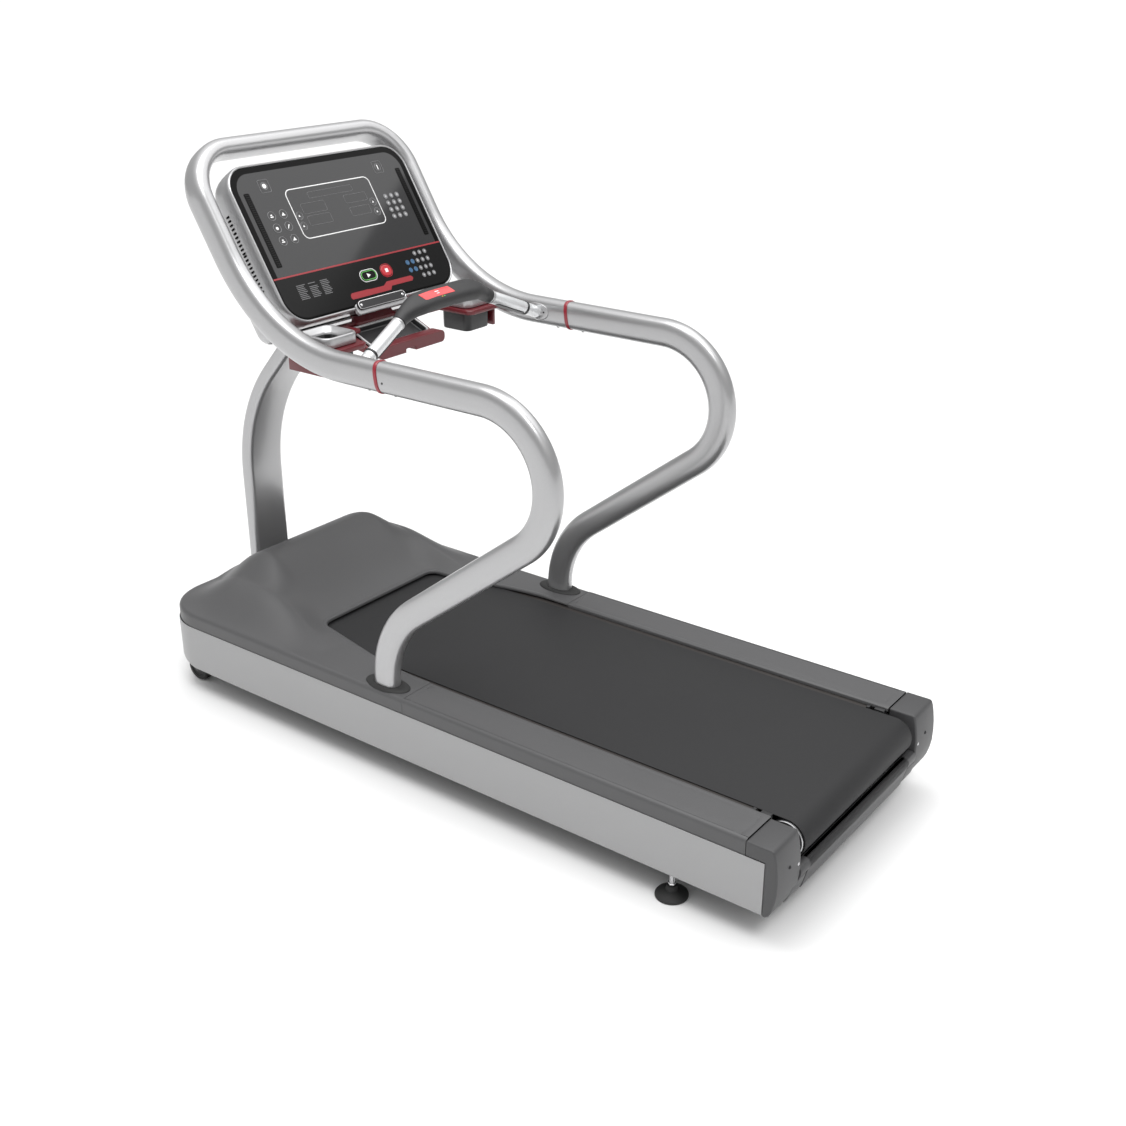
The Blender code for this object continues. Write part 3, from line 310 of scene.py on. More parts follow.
def placed(solid, matrix):
    return [matrix @ Vector(p) for p in solid[0]], solid[1]


def mirrored(solid):
    return [(-p[0], p[1], p[2]) for p in solid[0]], solid[1]


def thicken(solid, depth):
    points = np.array([tuple(p) for p in solid[0]], float)
    faces = [tuple(f) for f in solid[1]]
    normals = np.zeros_like(points)
    for f in faces:
        n = np.cross(points[f[1]] - points[f[0]], points[f[-1]] - points[f[0]])
        n2 = np.cross(points[f[2]] - points[f[0]], points[f[-1]] - points[f[0]])
        normals[list(f)] += n + n2
    normals /= np.maximum(np.linalg.norm(normals, axis=1, keepdims=True), 1e-12)
    count = len(points)
    directed = {(a, b) for f in faces for a, b in zip(f, f[1:] + f[:1])}
    rim = [(b, a, count + a, count + b) for a, b in directed if (b, a) not in directed]
    inner = [tuple(count + i for i in f[::-1]) for f in faces]
    return list(map(tuple, np.vstack([points, points - normals * depth]))), faces + inner + rim


def arcPoints(centreA, centreB, radius, start, end, step=3.0):
    count = max(2, int(abs(end - start) / step))
    angles = [math.radians(start + (end - start) * i / count) for i in range(count + 1)]
    return [(centreA + radius * math.cos(t), centreB + radius * math.sin(t)) for t in angles]


def superOval(halfA, halfB, power=2.7, steps=56):
    loop = []
    for i in range(steps):
        t = math.tau * i / steps
        c, s = math.cos(t), math.sin(t)
        loop.append((halfA * math.copysign(abs(c) ** (2 / power), c),
                     halfB * math.copysign(abs(s) ** (2 / power), s)))
    return loop


def roundedLoop(halfA, halfB, radius, steps=10, centre=(0.0, 0.0)):
    loop = []
    for quarter, (sa, sb) in enumerate(((1, 1), (-1, 1), (-1, -1), (1, -1))):
        for i in range(steps + 1):
            t = math.radians(90 * quarter + 90 * i / steps)
            loop.append((centre[0] + sa * (halfA - radius) + radius * math.cos(t),
                         centre[1] + sb * (halfB - radius) + radius * math.sin(t)))
    return loop


def roundedSlab(halfA, halfB, radius, profile, centre=(0.0, 0.0), steps=10, caps=(True, True)):
    rings = []
    for inset, height in profile:
        loop = roundedLoop(halfA - inset, halfB - inset, max(radius - inset, 0.0003), steps, centre)
        rings.append([(a, b, height) for a, b in loop])
    return loft(rings, caps)


def softEdge(low, high, round_, steps=5, inset=0.0):
    profile = []
    for i in range(steps + 1):
        t = math.radians(90 * i / steps)
        profile.append((inset + round_ * (1 - math.sin(t)), low + round_ * (1 - math.cos(t))))
    for i in range(steps + 1):
        t = math.radians(90 - 90 * i / steps)
        profile.append((inset + round_ * (1 - math.sin(t)), high - round_ * (1 - math.cos(t))))
    return profile


def turned(profile, centre, axis="Z", steps=56):
    rings = []
    for radius, height in profile:
        ring = []
        for i in range(steps):
            t = math.tau * i / steps
            a, b = radius * math.cos(t), radius * math.sin(t)
            p = {"Z": (a, b, height), "X": (height, a, b), "Y": (b, height, a)}[axis]
            ring.append((p[0] + centre[0], p[1] + centre[1], p[2] + centre[2]))
        rings.append(ring)
    return loft(rings, (True, True))


def ringTurned(profile, centre, axis="Z", steps=56):
    points, faces = turned(profile, centre, axis, steps)
    faces = [f for f in faces if len(f) == 4]
    rows = len(profile)
    for j in range(steps):
        k = (j + 1) % steps
        faces.append(((rows - 1) * steps + j, (rows - 1) * steps + k, k, j))
    return points, faces


def prism(outline, low, high, axis, bevel=0.002, segments=3, angle=30):
    shape = bmesh.new()
    def spot(a, b, c):
        return {"X": (c, a, b), "Y": (a, c, b), "Z": (a, b, c)}[axis]
    verts = [shape.verts.new(spot(a, b, low)) for a, b in outline]
    face = shape.faces.new(verts)
    grown = bmesh.ops.extrude_face_region(shape, geom=[face])
    shift = Vector(spot(0, 0, high - low))
    for element in grown["geom"]:
        if isinstance(element, bmesh.types.BMVert):
            element.co += shift
    bmesh.ops.recalc_face_normals(shape, faces=shape.faces)
    if bevel:
        edges = [e for e in shape.edges if len(e.link_faces) == 2 and e.calc_face_angle(0) > math.radians(angle)]
        bmesh.ops.bevel(shape, geom=edges, offset=bevel, segments=segments, profile=0.5, affect="EDGES",
                        clamp_overlap=True)
    shape.verts.index_update()
    solid = ([v.co.copy() for v in shape.verts], [tuple(v.index for v in f.verts) for f in shape.faces])
    shape.free()
    return solid


def blockSolid(low, high, bevel=0.002, segments=3):
    outline = [(low[0], low[1]), (high[0], low[1]), (high[0], high[1]), (low[0], high[1])]
    return prism(outline, low[2], high[2], "Z", bevel, segments)


def sweep(path, section, caps=(True, True)):
    rings = []
    for point, across, up, scale in path:
        p, a, b = Vector(point), Vector(across), Vector(up)
        rings.append([tuple(p + a * (s * scale) + b * (t * scale)) for s, t in section])
    return loft(rings, caps)


def wireAlong(points, radius, closed=False, sides=8, up=(0, 0, 1)):
    points = [Vector(p) for p in points]
    rings = []
    count = len(points)
    for i, p in enumerate(points):
        before = points[(i - 1) % count] if closed or i else points[i]
        after = points[(i + 1) % count] if closed or i < count - 1 else points[i]
        along = (after - before).normalized()
        side = along.cross(Vector(up))
        side = side.normalized() if side.length > 1e-6 else Vector((1, 0, 0))
        over = side.cross(along)
        rings.append([tuple(p + side * radius * math.cos(t) + over * radius * math.sin(t))
                      for t in (math.tau * k / sides for k in range(sides))])
    return loft(rings, (not closed, not closed), True, closed)


def smooth(t):
    t = min(1.0, max(0.0, t))
    return t * t * (3 - 2 * t)


# geometry nodes: one tree sets a unit out on a grid, another runs a wire along a curve


def modifierTree(title, inputs):
    tree = bpy.data.node_groups.new(title, "GeometryNodeTree")
    tree.is_modifier = True
    tree.interface.new_socket("Geometry", in_out="INPUT", socket_type="NodeSocketGeometry")
    for label, kind, value in inputs:
        socket = tree.interface.new_socket(label, in_out="INPUT", socket_type=kind)
        if value is not None:
            socket.default_value = value
    tree.interface.new_socket("Geometry", in_out="OUTPUT", socket_type="NodeSocketGeometry")
    return tree, tree.nodes.new("NodeGroupInput"), tree.nodes.new("NodeGroupOutput")


def makeGridTree():
    tree, start, end = modifierTree("unitsOnGrid", [
        ("Unit", "NodeSocketObject", None), ("Columns", "NodeSocketInt", 3), ("Rows", "NodeSocketInt", 4),
        ("Column Step", "NodeSocketFloat", 0.02), ("Row Step", "NodeSocketFloat", 0.02),
                                                    ("Finish", "NodeSocketMaterial", None)])
    link = tree.links.new
    wide = mathNode(tree, "MULTIPLY", mathNode(tree, "SUBTRACT", start.outputs["Columns"], 1.0),
                    start.outputs["Column Step"])
    high = mathNode(tree, "MULTIPLY", mathNode(tree, "SUBTRACT", start.outputs["Rows"], 1.0),
                    start.outputs["Row Step"])
    grid = tree.nodes.new("GeometryNodeMeshGrid")
    link(wide, grid.inputs["Size X"])
    link(high, grid.inputs["Size Y"])
    link(start.outputs["Columns"], grid.inputs["Vertices X"])
    link(start.outputs["Rows"], grid.inputs["Vertices Y"])
    unit = tree.nodes.new("GeometryNodeObjectInfo")
    link(start.outputs["Unit"], unit.inputs["Object"])
    spread = tree.nodes.new("GeometryNodeInstanceOnPoints")
    link(grid.outputs["Mesh"], spread.inputs["Points"])
    link(unit.outputs["Geometry"], spread.inputs["Instance"])
    real = tree.nodes.new("GeometryNodeRealizeInstances")
    link(spread.outputs["Instances"], real.inputs["Geometry"])
    paint = tree.nodes.new("GeometryNodeSetMaterial")
    link(real.outputs["Geometry"], paint.inputs["Geometry"])
    link(start.outputs["Finish"], paint.inputs["Material"])
    link(paint.outputs["Geometry"], end.inputs["Geometry"])
    return tree


def makeWireTree():
    tree, start, end = modifierTree("wireOnCurve", [
        ("Wire Radius", "NodeSocketFloat", 0.0005), ("Sides", "NodeSocketInt", 6),
                                                    ("Finish", "NodeSocketMaterial", None)])
    link = tree.links.new
    ring = tree.nodes.new("GeometryNodeCurvePrimitiveCircle")
    link(start.outputs["Wire Radius"], ring.inputs["Radius"])
    link(start.outputs["Sides"], ring.inputs["Resolution"])
    skin = tree.nodes.new("GeometryNodeCurveToMesh")
    skin.inputs["Fill Caps"].default_value = True
    link(start.outputs["Geometry"], skin.inputs["Curve"])
    link(ring.outputs["Curve"], skin.inputs["Profile Curve"])
    real = tree.nodes.new("GeometryNodeRealizeInstances")
    link(skin.outputs["Mesh"], real.inputs["Geometry"])
    paint = tree.nodes.new("GeometryNodeSetMaterial")
    link(real.outputs["Geometry"], paint.inputs["Geometry"])
    link(start.outputs["Finish"], paint.inputs["Material"])
    link(paint.outputs["Geometry"], end.inputs["Geometry"])
    return tree


gridTree, wireTree = makeGridTree(), makeWireTree()


def bakeTree(name, data, tree, values):
    maker = bpy.data.objects.new(name + "Maker", data)
    bpy.context.scene.collection.objects.link(maker)
    modifier = maker.modifiers.new("maker", "NODES")
    modifier.node_group = tree
    for item in tree.interface.items_tree:
        if item.in_out == "INPUT" and item.name in values:
            modifier[item.identifier] = values[item.name]
    graph = bpy.context.evaluated_depsgraph_get()
    mesh = bpy.data.meshes.new_from_object(maker.evaluated_get(graph), depsgraph=graph)
    bpy.data.objects.remove(maker)
    return mesh


def meshSolid(mesh):
    solid = ([v.co.copy() for v in mesh.vertices], [tuple(p.vertices) for p in mesh.polygons])
    bpy.data.meshes.remove(mesh)
    return solid


def onGrid(name, unit, finish, columns, rows, columnStep, rowStep):
    mesh = bpy.data.meshes.new(name + "Unit")
    mesh.from_pydata([tuple(p) for p in unit[0]], [], [tuple(f) for f in unit[1]])
    source = bpy.data.objects.new(name + "Unit", mesh)
    bpy.context.scene.collection.objects.link(source)
    made = bakeTree(name, bpy.data.meshes.new(name + "Seed"), gridTree, {
        "Unit": source, "Columns": columns, "Rows": rows, "Column Step": columnStep, "Row Step": rowStep,
        "Finish": finishes[finish]})
    bpy.data.objects.remove(source)
    return meshSolid(made)


def wireLoop(name, points, radius, finish, closed=True, sides=6):
    curve = bpy.data.curves.new(name, "CURVE")
    curve.dimensions = "3D"
    spline = curve.splines.new("POLY")
    spline.points.add(len(points) - 1)
    for knot, p in zip(spline.points, points):
        knot.co = (p[0], p[1], p[2], 1.0)
    spline.use_cyclic_u = closed
    return meshSolid(bakeTree(name, curve, wireTree,
                              {"Wire Radius": radius, "Sides": sides, "Finish": finishes[finish]}))


print("helpers ready")

# running belt, foot rails, hood, side panels

beltSpec = {"half": 0.2795, "thick": 0.0030, "rearY": -0.9795, "frontY": 0.545, "height": 0.2035,
            "radius": 0.0455}


def buildBelt(spec):
    rings = []
    stations = []
    for centre, start, end in ((spec["frontY"], 90, -90), (spec["rearY"], 270, 90)):
        for cy, cz in arcPoints(0, 0, 1.0, start, end, 4):
            stations.append((centre, cy, cz))
    half, thick, r = spec["half"], spec["thick"], spec["radius"]
    for centre, ny, nz in stations:
        ring = []
        for x, off in ((-half, 0.0006), (-half + 0.0006, 0), (half - 0.0006, 0), (half, 0.0006),
                       (half, thick - 0.0008),
                       (half - 0.0012, thick), (-half + 0.0012, thick), (-half, thick - 0.0008)):
            ring.append((x, centre + ny * (r + off), spec["height"] + nz * (r + off)))
        rings.append(ring)
    return loft(rings, (False, False), True, True)


addPiece("runningBelt", buildBelt(beltSpec), "beltBlack", stands=("running_belt",),
         sharp=50)

railSpec = {"inner": 0.300, "outer": 0.408, "top": 0.257, "bandLow": 0.2178, "rear": -0.949, "front": 0.0612,
            "skin": 0.0030,
            "groove": (0.3125, 0.3990, -0.9330, 0.0480), "grooveDeep": 0.0011, "grooveWide": 0.0022,
            "corner": 0.010}


def buildRail(spec):
    low, high, rearY, frontY = spec["groove"]
    wide, deep = spec["grooveWide"], spec["grooveDeep"]

    def grooveSteps(a):
        return [a - wide, a - wide * 0.55, a - wide * 0.25, a + wide * 0.25, a + wide * 0.55, a + wide]

    top = spec["top"]
    section = [(spec["inner"], top - 0.0075), (spec["inner"], top - 0.004),
               (spec["inner"] + 0.0008, top - 0.0015),
               (spec["inner"] + 0.0022, top - 0.0004), (spec["inner"] + 0.004, top)]
    cross = sorted(set(grooveSteps(low) + grooveSteps(high) + [0.330, 0.350, 0.375]))
    section += [(x, top) for x in cross]
    section += [(x, z) for x, z in arcPoints(spec["outer"] - 0.008, top - 0.008, 0.008, 90, 0, 11)]
    section += [(spec["outer"], top - 0.014), (spec["outer"], top - 0.030),
                (spec["outer"], spec["bandLow"] + 0.002),
                (spec["outer"] - 0.0008, spec["bandLow"])]
    along = sorted(set([spec["rear"],
                        spec["rear"] + 0.002] + grooveSteps(rearY) + grooveSteps(frontY) + [spec["front"] - 0.002, spec["front"]]
                       + [rearY + 0.02 + (frontY - rearY - 0.04) * i / 12 for i in range(13)]))

    def dip(x, y):
        r = spec["corner"]
        cx, cy = (low + high) / 2, (rearY + frontY) / 2
        qx = abs(x - cx) - (high - low) / 2 + r
        qy = abs(y - cy) - (frontY - rearY) / 2 + r
        gap = math.hypot(max(qx, 0), max(qy, 0)) + min(max(qx, qy), 0) - r
        return deep if abs(gap) < wide * 0.5 else 0.0

    rings = []
    for y in along:
        ends = 0.0006 if y in (spec["rear"], spec["front"]) else 0.0
        rings.append([(x, y, z - (dip(x, y) if z > top - 0.0003 else 0) - ends * (z > top - 0.002)) for x,
                      z in section])
    points, faces = loft(rings, (False, False), False)
    solid = thicken((points, faces), spec["skin"])
    heights = [p[2] for p in solid[0]]
    if max(heights) > top + 0.001:
        solid = thicken((points, [f[::-1] for f in faces]), spec["skin"])
    return solid


railSolid = buildRail(railSpec)
addPiece("footRailRight", railSolid, "hoodGrey", stands=("foot_rail_r",), sharp=30)
addPiece("footRailLeft", mirrored(railSolid), "hoodGrey", stands=("foot_rail_l",),
         sharp=30)

hoodSpec = {"outer": 0.408, "rear": 0.0620, "front": 1.0305, "corner": 0.145, "top": 0.257, "inner": 0.300,
            "lipY": 0.533,
            "lipHalf": 0.229, "lipCorner": 0.036, "crestY": 0.775, "crestRise": 0.149, "lobeRise": 0.088,
            "flank": 0.090,
            "bandLow": 0.2178, "edgeRound": 0.011, "skin": 0.0030, "lipRise": 0.0022,
            "crease": ((0.35, 0.318), (0.48, 0.302), (0.55, 0.292), (0.62, 0.281), (0.74, 0.281), (0.82, 0.276),
                       (0.88, 0.263), (0.94, 0.238),
                       (0.98, 0.214), (1.03, 0.190))}


def creaseAt(y, spec=hoodSpec):
    knots = spec["crease"]
    return sum(float(np.interp(y + d, [k[0] for k in knots], [k[1] for k in knots])) for d in (-0.03, -0.015,
            0.0, 0.015, 0.03)) / 5


def hoodHeight(x, y, spec=hoodSpec):
    x = abs(x)
    crest = smooth((y - spec["lipY"] + 0.035) / (spec["crestY"] - spec["lipY"] + 0.035))
    if y > spec["crestY"]:
        crest = 1.0 - smooth((y - spec["crestY"] + 0.010) / 0.315)
    lobe = spec["lobeRise"] * smooth((y - 0.40) / 0.32) * (1 - smooth((y - 0.80) / 0.24))
    crease = creaseAt(y, spec)
    if x > crease:
        out = min(1.0, (x - crease) / (spec["outer"] - 0.004 - crease))
        return spec["top"] + lobe * (1 - 0.5 * out ** 1.5 - 0.5 * smooth(out))
    side = min(1.0, (crease - x) / spec["flank"])
    side = 0.55 * (1 - (1 - side) ** 2.2) + 0.45 * smooth(side)
    return spec["top"] + spec["crestRise"] * crest * side + lobe * (1 - side)


def hoodInner(y, spec=hoodSpec):
    return spec["inner"] - (spec["inner"] - spec["lipHalf"]) * smooth((y - 0.12) / (spec["lipY"] - 0.06))


def resample(points, count):
    points = np.array(points, float)
    lengths = np.concatenate([[0], np.cumsum(np.linalg.norm(np.diff(points, axis=0), axis=1))])
    wanted = np.linspace(0, lengths[-1], count)
    return np.stack([np.interp(wanted, lengths, points[:, i]) for i in range(points.shape[1])], axis=1)


def hoodEdges(spec):
    outerA = resample([(spec["outer"], spec["rear"]), (spec["outer"], 0.300)], 16)
    outerB = resample([(spec["outer"], 0.300), (spec["outer"], 0.760)], 40)
    centre = (spec["outer"] - spec["corner"], spec["front"] - spec["corner"])
    bend = [(spec["outer"], 0.760)] + arcPoints(*centre, spec["corner"], 0, 90, 3)
    outerC = resample(bend, 44)
    outerD = resample([bend[-1], (0.0, spec["front"])], 30)
    innerLine = [(hoodInner(y), y) for y in np.linspace(spec["rear"], spec["lipY"] - spec["lipCorner"], 60)]
    r = spec["lipCorner"]
    endX = innerLine[-1][0]
    turn = arcPoints(endX - r, spec["lipY"] - r, r, 0, 90, 9)
    innerA = resample([p for p in innerLine if p[1] <= 0.26], 16)
    innerB = resample([innerA[-1]] + [p for p in innerLine if p[1] > 0.26], 40)
    innerC = resample([innerB[-1]] + turn + [(endX - r - 0.05, spec["lipY"])], 44)
    innerD = resample([innerC[-1], (0.0, spec["lipY"])], 30)
    outer = np.vstack([outerA, outerB[1:], outerC[1:], outerD[1:]])
    inner = np.vstack([innerA, innerB[1:], innerC[1:], innerD[1:]])
    flip = np.array([-1, 1])
    return np.vstack([outer, outer[-2::-1] * flip]), np.vstack([inner, inner[-2::-1] * flip])


def buildHood(spec):
    outer, inner = hoodEdges(spec)
    r = spec["edgeRound"]
    rings = []
    for z, pull in ((spec["bandLow"], 0.0008), (spec["bandLow"] + 0.002, 0.0), (0.228, 0.0), (0.238, 0.0)):
        rings.append([(x * (1 - pull / spec["outer"]), y, z) for x, y in outer])
    gaps = np.linalg.norm(outer - inner, axis=1)
    near = [r * (1 - math.cos(math.radians(a))) for a in range(0, 91, 9)]
    inward = (inner - outer) / gaps[:, None]
    for d in near:
        drop = r - math.sqrt(max(r * r - (r - d) ** 2, 0))
        ring = []
        for (x, y), (vx, vy) in zip(outer, inward):
            px, py = x + vx * d, y + vy * d
            ring.append((px, py, hoodHeight(px, py) - drop))
        rings.append(ring)
    lip = 0.010
    count = 46
    for i in range(1, count + 1):
        w = i / count
        ring = []
        for (x, y), (vx, vy), gap in zip(outer, inward, gaps):
            d = r + (gap - lip - r) * w
            px, py = x + vx * d, y + vy * d
            ring.append((px, py, hoodHeight(px, py)))
        rings.append(ring)
    bead = [(0.0075, 0.10), (0.0055, 0.55), (0.0035, 0.92), (0.0020, 1.0), (0.0009, 0.80), (0.0002, 0.35),
            (0.0, -0.2), (0.0, -1.6)]
    for left, rise in bead:
        ring = []
        for (x, y), (vx, vy), gap in zip(outer, inward, gaps):
            d = gap - left
            px, py = x + vx * d, y + vy * d
            fade = smooth((y - 0.10) / 0.08) if rise > 0 else 1.0
            ring.append((px, py, max(hoodHeight(px, py) + spec["lipRise"] * rise * fade, 0.2538)))
        rings.append(ring)
    points, faces = loft(rings, (False, False), False)
    return thicken((points, faces), -spec["skin"])


hoodSolid = buildHood(hoodSpec)
addPiece("motorHood", hoodSolid, "hoodGrey", stands=("motor_hood",), sharp=60)


def hoodSeam(side):
    return [(side * (creaseAt(y) + 0.001), y,
             hoodHeight(creaseAt(y) + 0.001, y) - 0.0004) for y in np.linspace(0.20, 1.005, 110)]


seams = merge(*[wireLoop("hoodSeam", hoodSeam(side), 0.0009, "hoodGrey", closed=False, sides=8) for side in (-1,
        1)])
addPiece("hoodSeams", seams, "hoodGrey")

panelSpec = {"outer": 0.413, "rear": -0.999, "front": 1.035, "corner": 0.145, "low": 0.078, "high": 0.2171,
             "skin": 0.003,
             "frontRise": 0.020}


def buildPanel(spec):
    centre = (spec["outer"] - spec["corner"], spec["front"] - spec["corner"])
    path = [(spec["outer"], spec["rear"] + t) for t in (0.0, 0.0015, 0.004, 0.3, 0.8, 1.3, 1.7)]
    normals = [(1.0, 0.0)] * len(path)
    for i in range(31):
        t = math.radians(90 * i / 30)
        path.append((centre[0] + spec["corner"] * math.cos(t), centre[1] + spec["corner"] * math.sin(t)))
        normals.append((math.cos(t), math.sin(t)))
    profile = [(0.0085, 0.0), (0.0052, 0.0006), (0.0024, 0.0024), (0.0007, 0.0052), (0.0, 0.0090)]
    rings = []
    for (x, y), (nx, ny) in zip(path, normals):
        rise = spec["frontRise"] * smooth((y - centre[1] + 0.03) / (spec["corner"] + 0.03)) * (1 - 0.15 * (nx < 0.02))
        low = spec["low"] + rise
        ring = [(x - nx * d, y - ny * d, low + h) for d, h in profile]
        ring += [(x, y, low + (spec["high"] - low) * t) for t in (0.35, 0.65)]
        ring += [(x, y, spec["high"] - 0.0018), (x - nx * 0.0005, y - ny * 0.0005, spec["high"] - 0.0005),
                 (x - nx * 0.0015, y - ny * 0.0015, spec["high"])]
        rings.append(ring)
    points, faces = loft(rings, (False, False), False)
    made = thicken((points, faces), spec["skin"])
    if max(p[0] for p in made[0]) > spec["outer"] + 0.001:
        made = thicken((points, [f[::-1] for f in faces]), spec["skin"])
    return made


panelSolid = buildPanel(panelSpec)
addPiece("sidePanelRight", panelSolid, "panelSilver", stands=("side_panel_r",),
         sharp=35)
addPiece("sidePanelLeft", mirrored(panelSolid), "panelSilver",
         stands=("side_panel_l",), sharp=35)
print("belt, rails, hood and panels built")

# rear: end caps, guard, rollers

capSpec = {"outer": 0.4125, "inner": 0.3035, "rear": -1.035, "front": -0.9495, "top": 0.257, "round": 0.0045}


def buildCap(spec):
    rear = spec["rear"]
    profile = [(-0.9495, 0.2568), (-0.9495, 0.2180), (-0.9986, 0.2180), (-0.9986, 0.0780),
               (rear + 0.027, 0.0780)]
    profile += [(rear + 0.020, 0.0840), (rear + 0.013, 0.1000), (rear + 0.007, 0.1220), (rear + 0.0035, 0.1450),
                (rear + 0.003, 0.1750)]
    profile += [(rear + 0.0045, 0.2000), (rear + 0.0080, 0.2250), (rear + 0.0120, 0.2440),
                (rear + 0.0155, 0.2530), (rear + 0.0200, 0.2568)]
    body = prism(profile, spec["inner"], spec["outer"], "X", spec["round"], 4, 40)
    foot = [(-0.9990, 0.0690), (rear + 0.026, 0.0690), (rear + 0.019, 0.0800), (rear + 0.0125, 0.1000),
            (rear + 0.0065, 0.1250), (-0.9990, 0.1250)]
    toe = prism(foot, 0.2630, 0.3300, "X", 0.0030, 3, 40)
    return merge(body, toe)


capSolid = buildCap(capSpec)
addPiece("endCapRight", capSolid, "capGrey", stands=("end_cap_r",), sharp=32)
addPiece("endCapLeft", mirrored(capSolid), "capGrey", stands=("end_cap_l",), sharp=32)

guardSpec = {"rear": -1.035, "half": 0.2612, "endHalf": 0.3028}


def buildGuard(spec):
    rear = spec["rear"]
    bar = [(rear + 0.032, 0.0722), (rear + 0.0210, 0.0722), (rear + 0.0170, 0.0800), (rear + 0.0105, 0.1050),
           (rear + 0.0052, 0.1270),
           (rear + 0.0020, 0.1350), (rear + 0.0004, 0.1430), (rear + 0.0012, 0.1500), (rear + 0.0050, 0.1560),
           (rear + 0.0120, 0.1588),
           (rear + 0.022, 0.1588), (rear + 0.032, 0.1500)]
    upper = [(rear + 0.032, 0.1275), (rear + 0.0058, 0.1275)] + bar[5:]
    middle = prism(bar, -spec["half"], spec["half"], "X", 0.0012, 2, 40)
    whole = prism(upper, -spec["endHalf"], spec["endHalf"], "X", 0.0010, 2, 40)
    return merge(middle, whole)


addPiece("rearGuard", buildGuard(guardSpec), "capGrey", stands=("rear_guard",),
         sharp=32)

rollerSpec = {"radius": 0.0442, "half": 0.2858, "bore": 0.0365}
for label, body, y, node in (("frontRoller", "front_roller", 0.545, "front_roller"),
                             ("rearRoller", "rear_roller", -0.9795, "rear_roller")):
    r, half, bore = rollerSpec["radius"], rollerSpec["half"], rollerSpec["bore"]
    profile = [(bore, -half), (r - 0.0015, -half), (r, -half + 0.0015), (r, half - 0.0015), (r - 0.0015, half),
               (bore, half)]
    if label == "frontRoller":
        profile = profile[:4] + [(0.0420, half + 0.004), (0.0420, 0.3100), (bore, 0.3100)]
    addPiece(label, ringTurned(profile, (0, y, 0.2035), "X"), "steel", body, (node,))


def screwHead(radius=0.0042, high=0.0018):
    profile = [(0.0, -0.004), (radius, -0.004), (radius, high * 0.45), (radius * 0.86, high * 0.85),
               (radius * 0.60, high), (radius * 0.56, high),
               (radius * 0.50, high * 0.30), (0.0, high * 0.25)]
    return turned(profile, (0, 0, 0), "Z", 24)


turnRear = Matrix.Rotation(math.radians(90), 4, "X")  # a screw's head from +Z to -Y
rearScrews, rearHoles = [], []
for side in (-1, 1):
    spot = Matrix.Translation((side * 0.3150, -1.0310, 0.1760)) @ turnRear
    rearScrews.append(placed(screwHead(0.0040, 0.0016), spot))
    hole = turned([(0.0, -0.003), (0.0046, -0.003), (0.0046, 0.0009), (0.0036, 0.0014), (0.0034, 0.0002),
                   (0.0, 0.0)], (0, 0, 0), "Z", 24)
    rearHoles.append(placed(hole, Matrix.Translation((side * 0.3560, -1.0312, 0.1900)) @ turnRear))
addPiece("rearScrews", merge(*rearScrews), "chrome")
addPiece("rearPlugs", merge(*rearHoles), "blackPlastic")

guides = []
for side in (-1, 1):
    a, b = sorted((side * 0.2830, side * 0.2990))
    guides.append(blockSolid((a, -0.9450, 0.2300), (b, -0.9180, 0.2548), 0.0015))
    guides.append(blockSolid((a, -0.9050, 0.2300), (b, -0.8960, 0.2535), 0.0010))
addPiece("beltGuides", merge(*guides), "blackPlastic")

# feet and lift wheels

footSpec = {"x": 0.378, "y": -0.747}
for side, label, body, node in ((-1, "levellingFootLeft", "foot_l", "levelling_foot_l"),
                                (1, "levellingFootRight", "foot_r", "levelling_foot_r")):
    at = (side * footSpec["x"], footSpec["y"], 0)
    pad = [(0.0, 0.0), (0.0375, 0.0), (0.0392, 0.0008), (0.0400, 0.0030), (0.0396, 0.0062), (0.0380, 0.0086),
           (0.0350, 0.0105),
           (0.0290, 0.0142), (0.0220, 0.0172), (0.0150, 0.0192), (0.0140, 0.0215), (0.0132, 0.0290),
           (0.0120, 0.0305), (0.0, 0.0305)]
    addPiece(label, turned(pad, at, "Z", 64), "rubber", body, (node,))
    thread = [(0.0, 0.0300), (0.0062, 0.0300), (0.0062, 0.0385)]
    for i in range(22):
        thread += [(0.0058, 0.0392 + i * 0.0022), (0.0064, 0.0403 + i * 0.0022)]
    thread += [(0.0058, 0.0880), (0.0058, 0.1450), (0.0, 0.1450)]
    stem = turned(thread, at, "Z", 32)
    hexagon = [(0.0108 * math.cos(math.tau * i / 6), 0.0108 * math.sin(math.tau * i / 6)) for i in range(6)]
    nut = placed(prism(hexagon, 0.0882, 0.0974, "Z", 0.0010, 2), Matrix.Translation(at))
    lock = placed(prism([(0.92 * a, 0.92 * b) for a, b in hexagon], 0.0310, 0.0380, "Z", 0.0009, 2),
                  Matrix.Translation(at))
    addPiece(label + "Stem", merge(stem, nut, lock), "chrome", body)

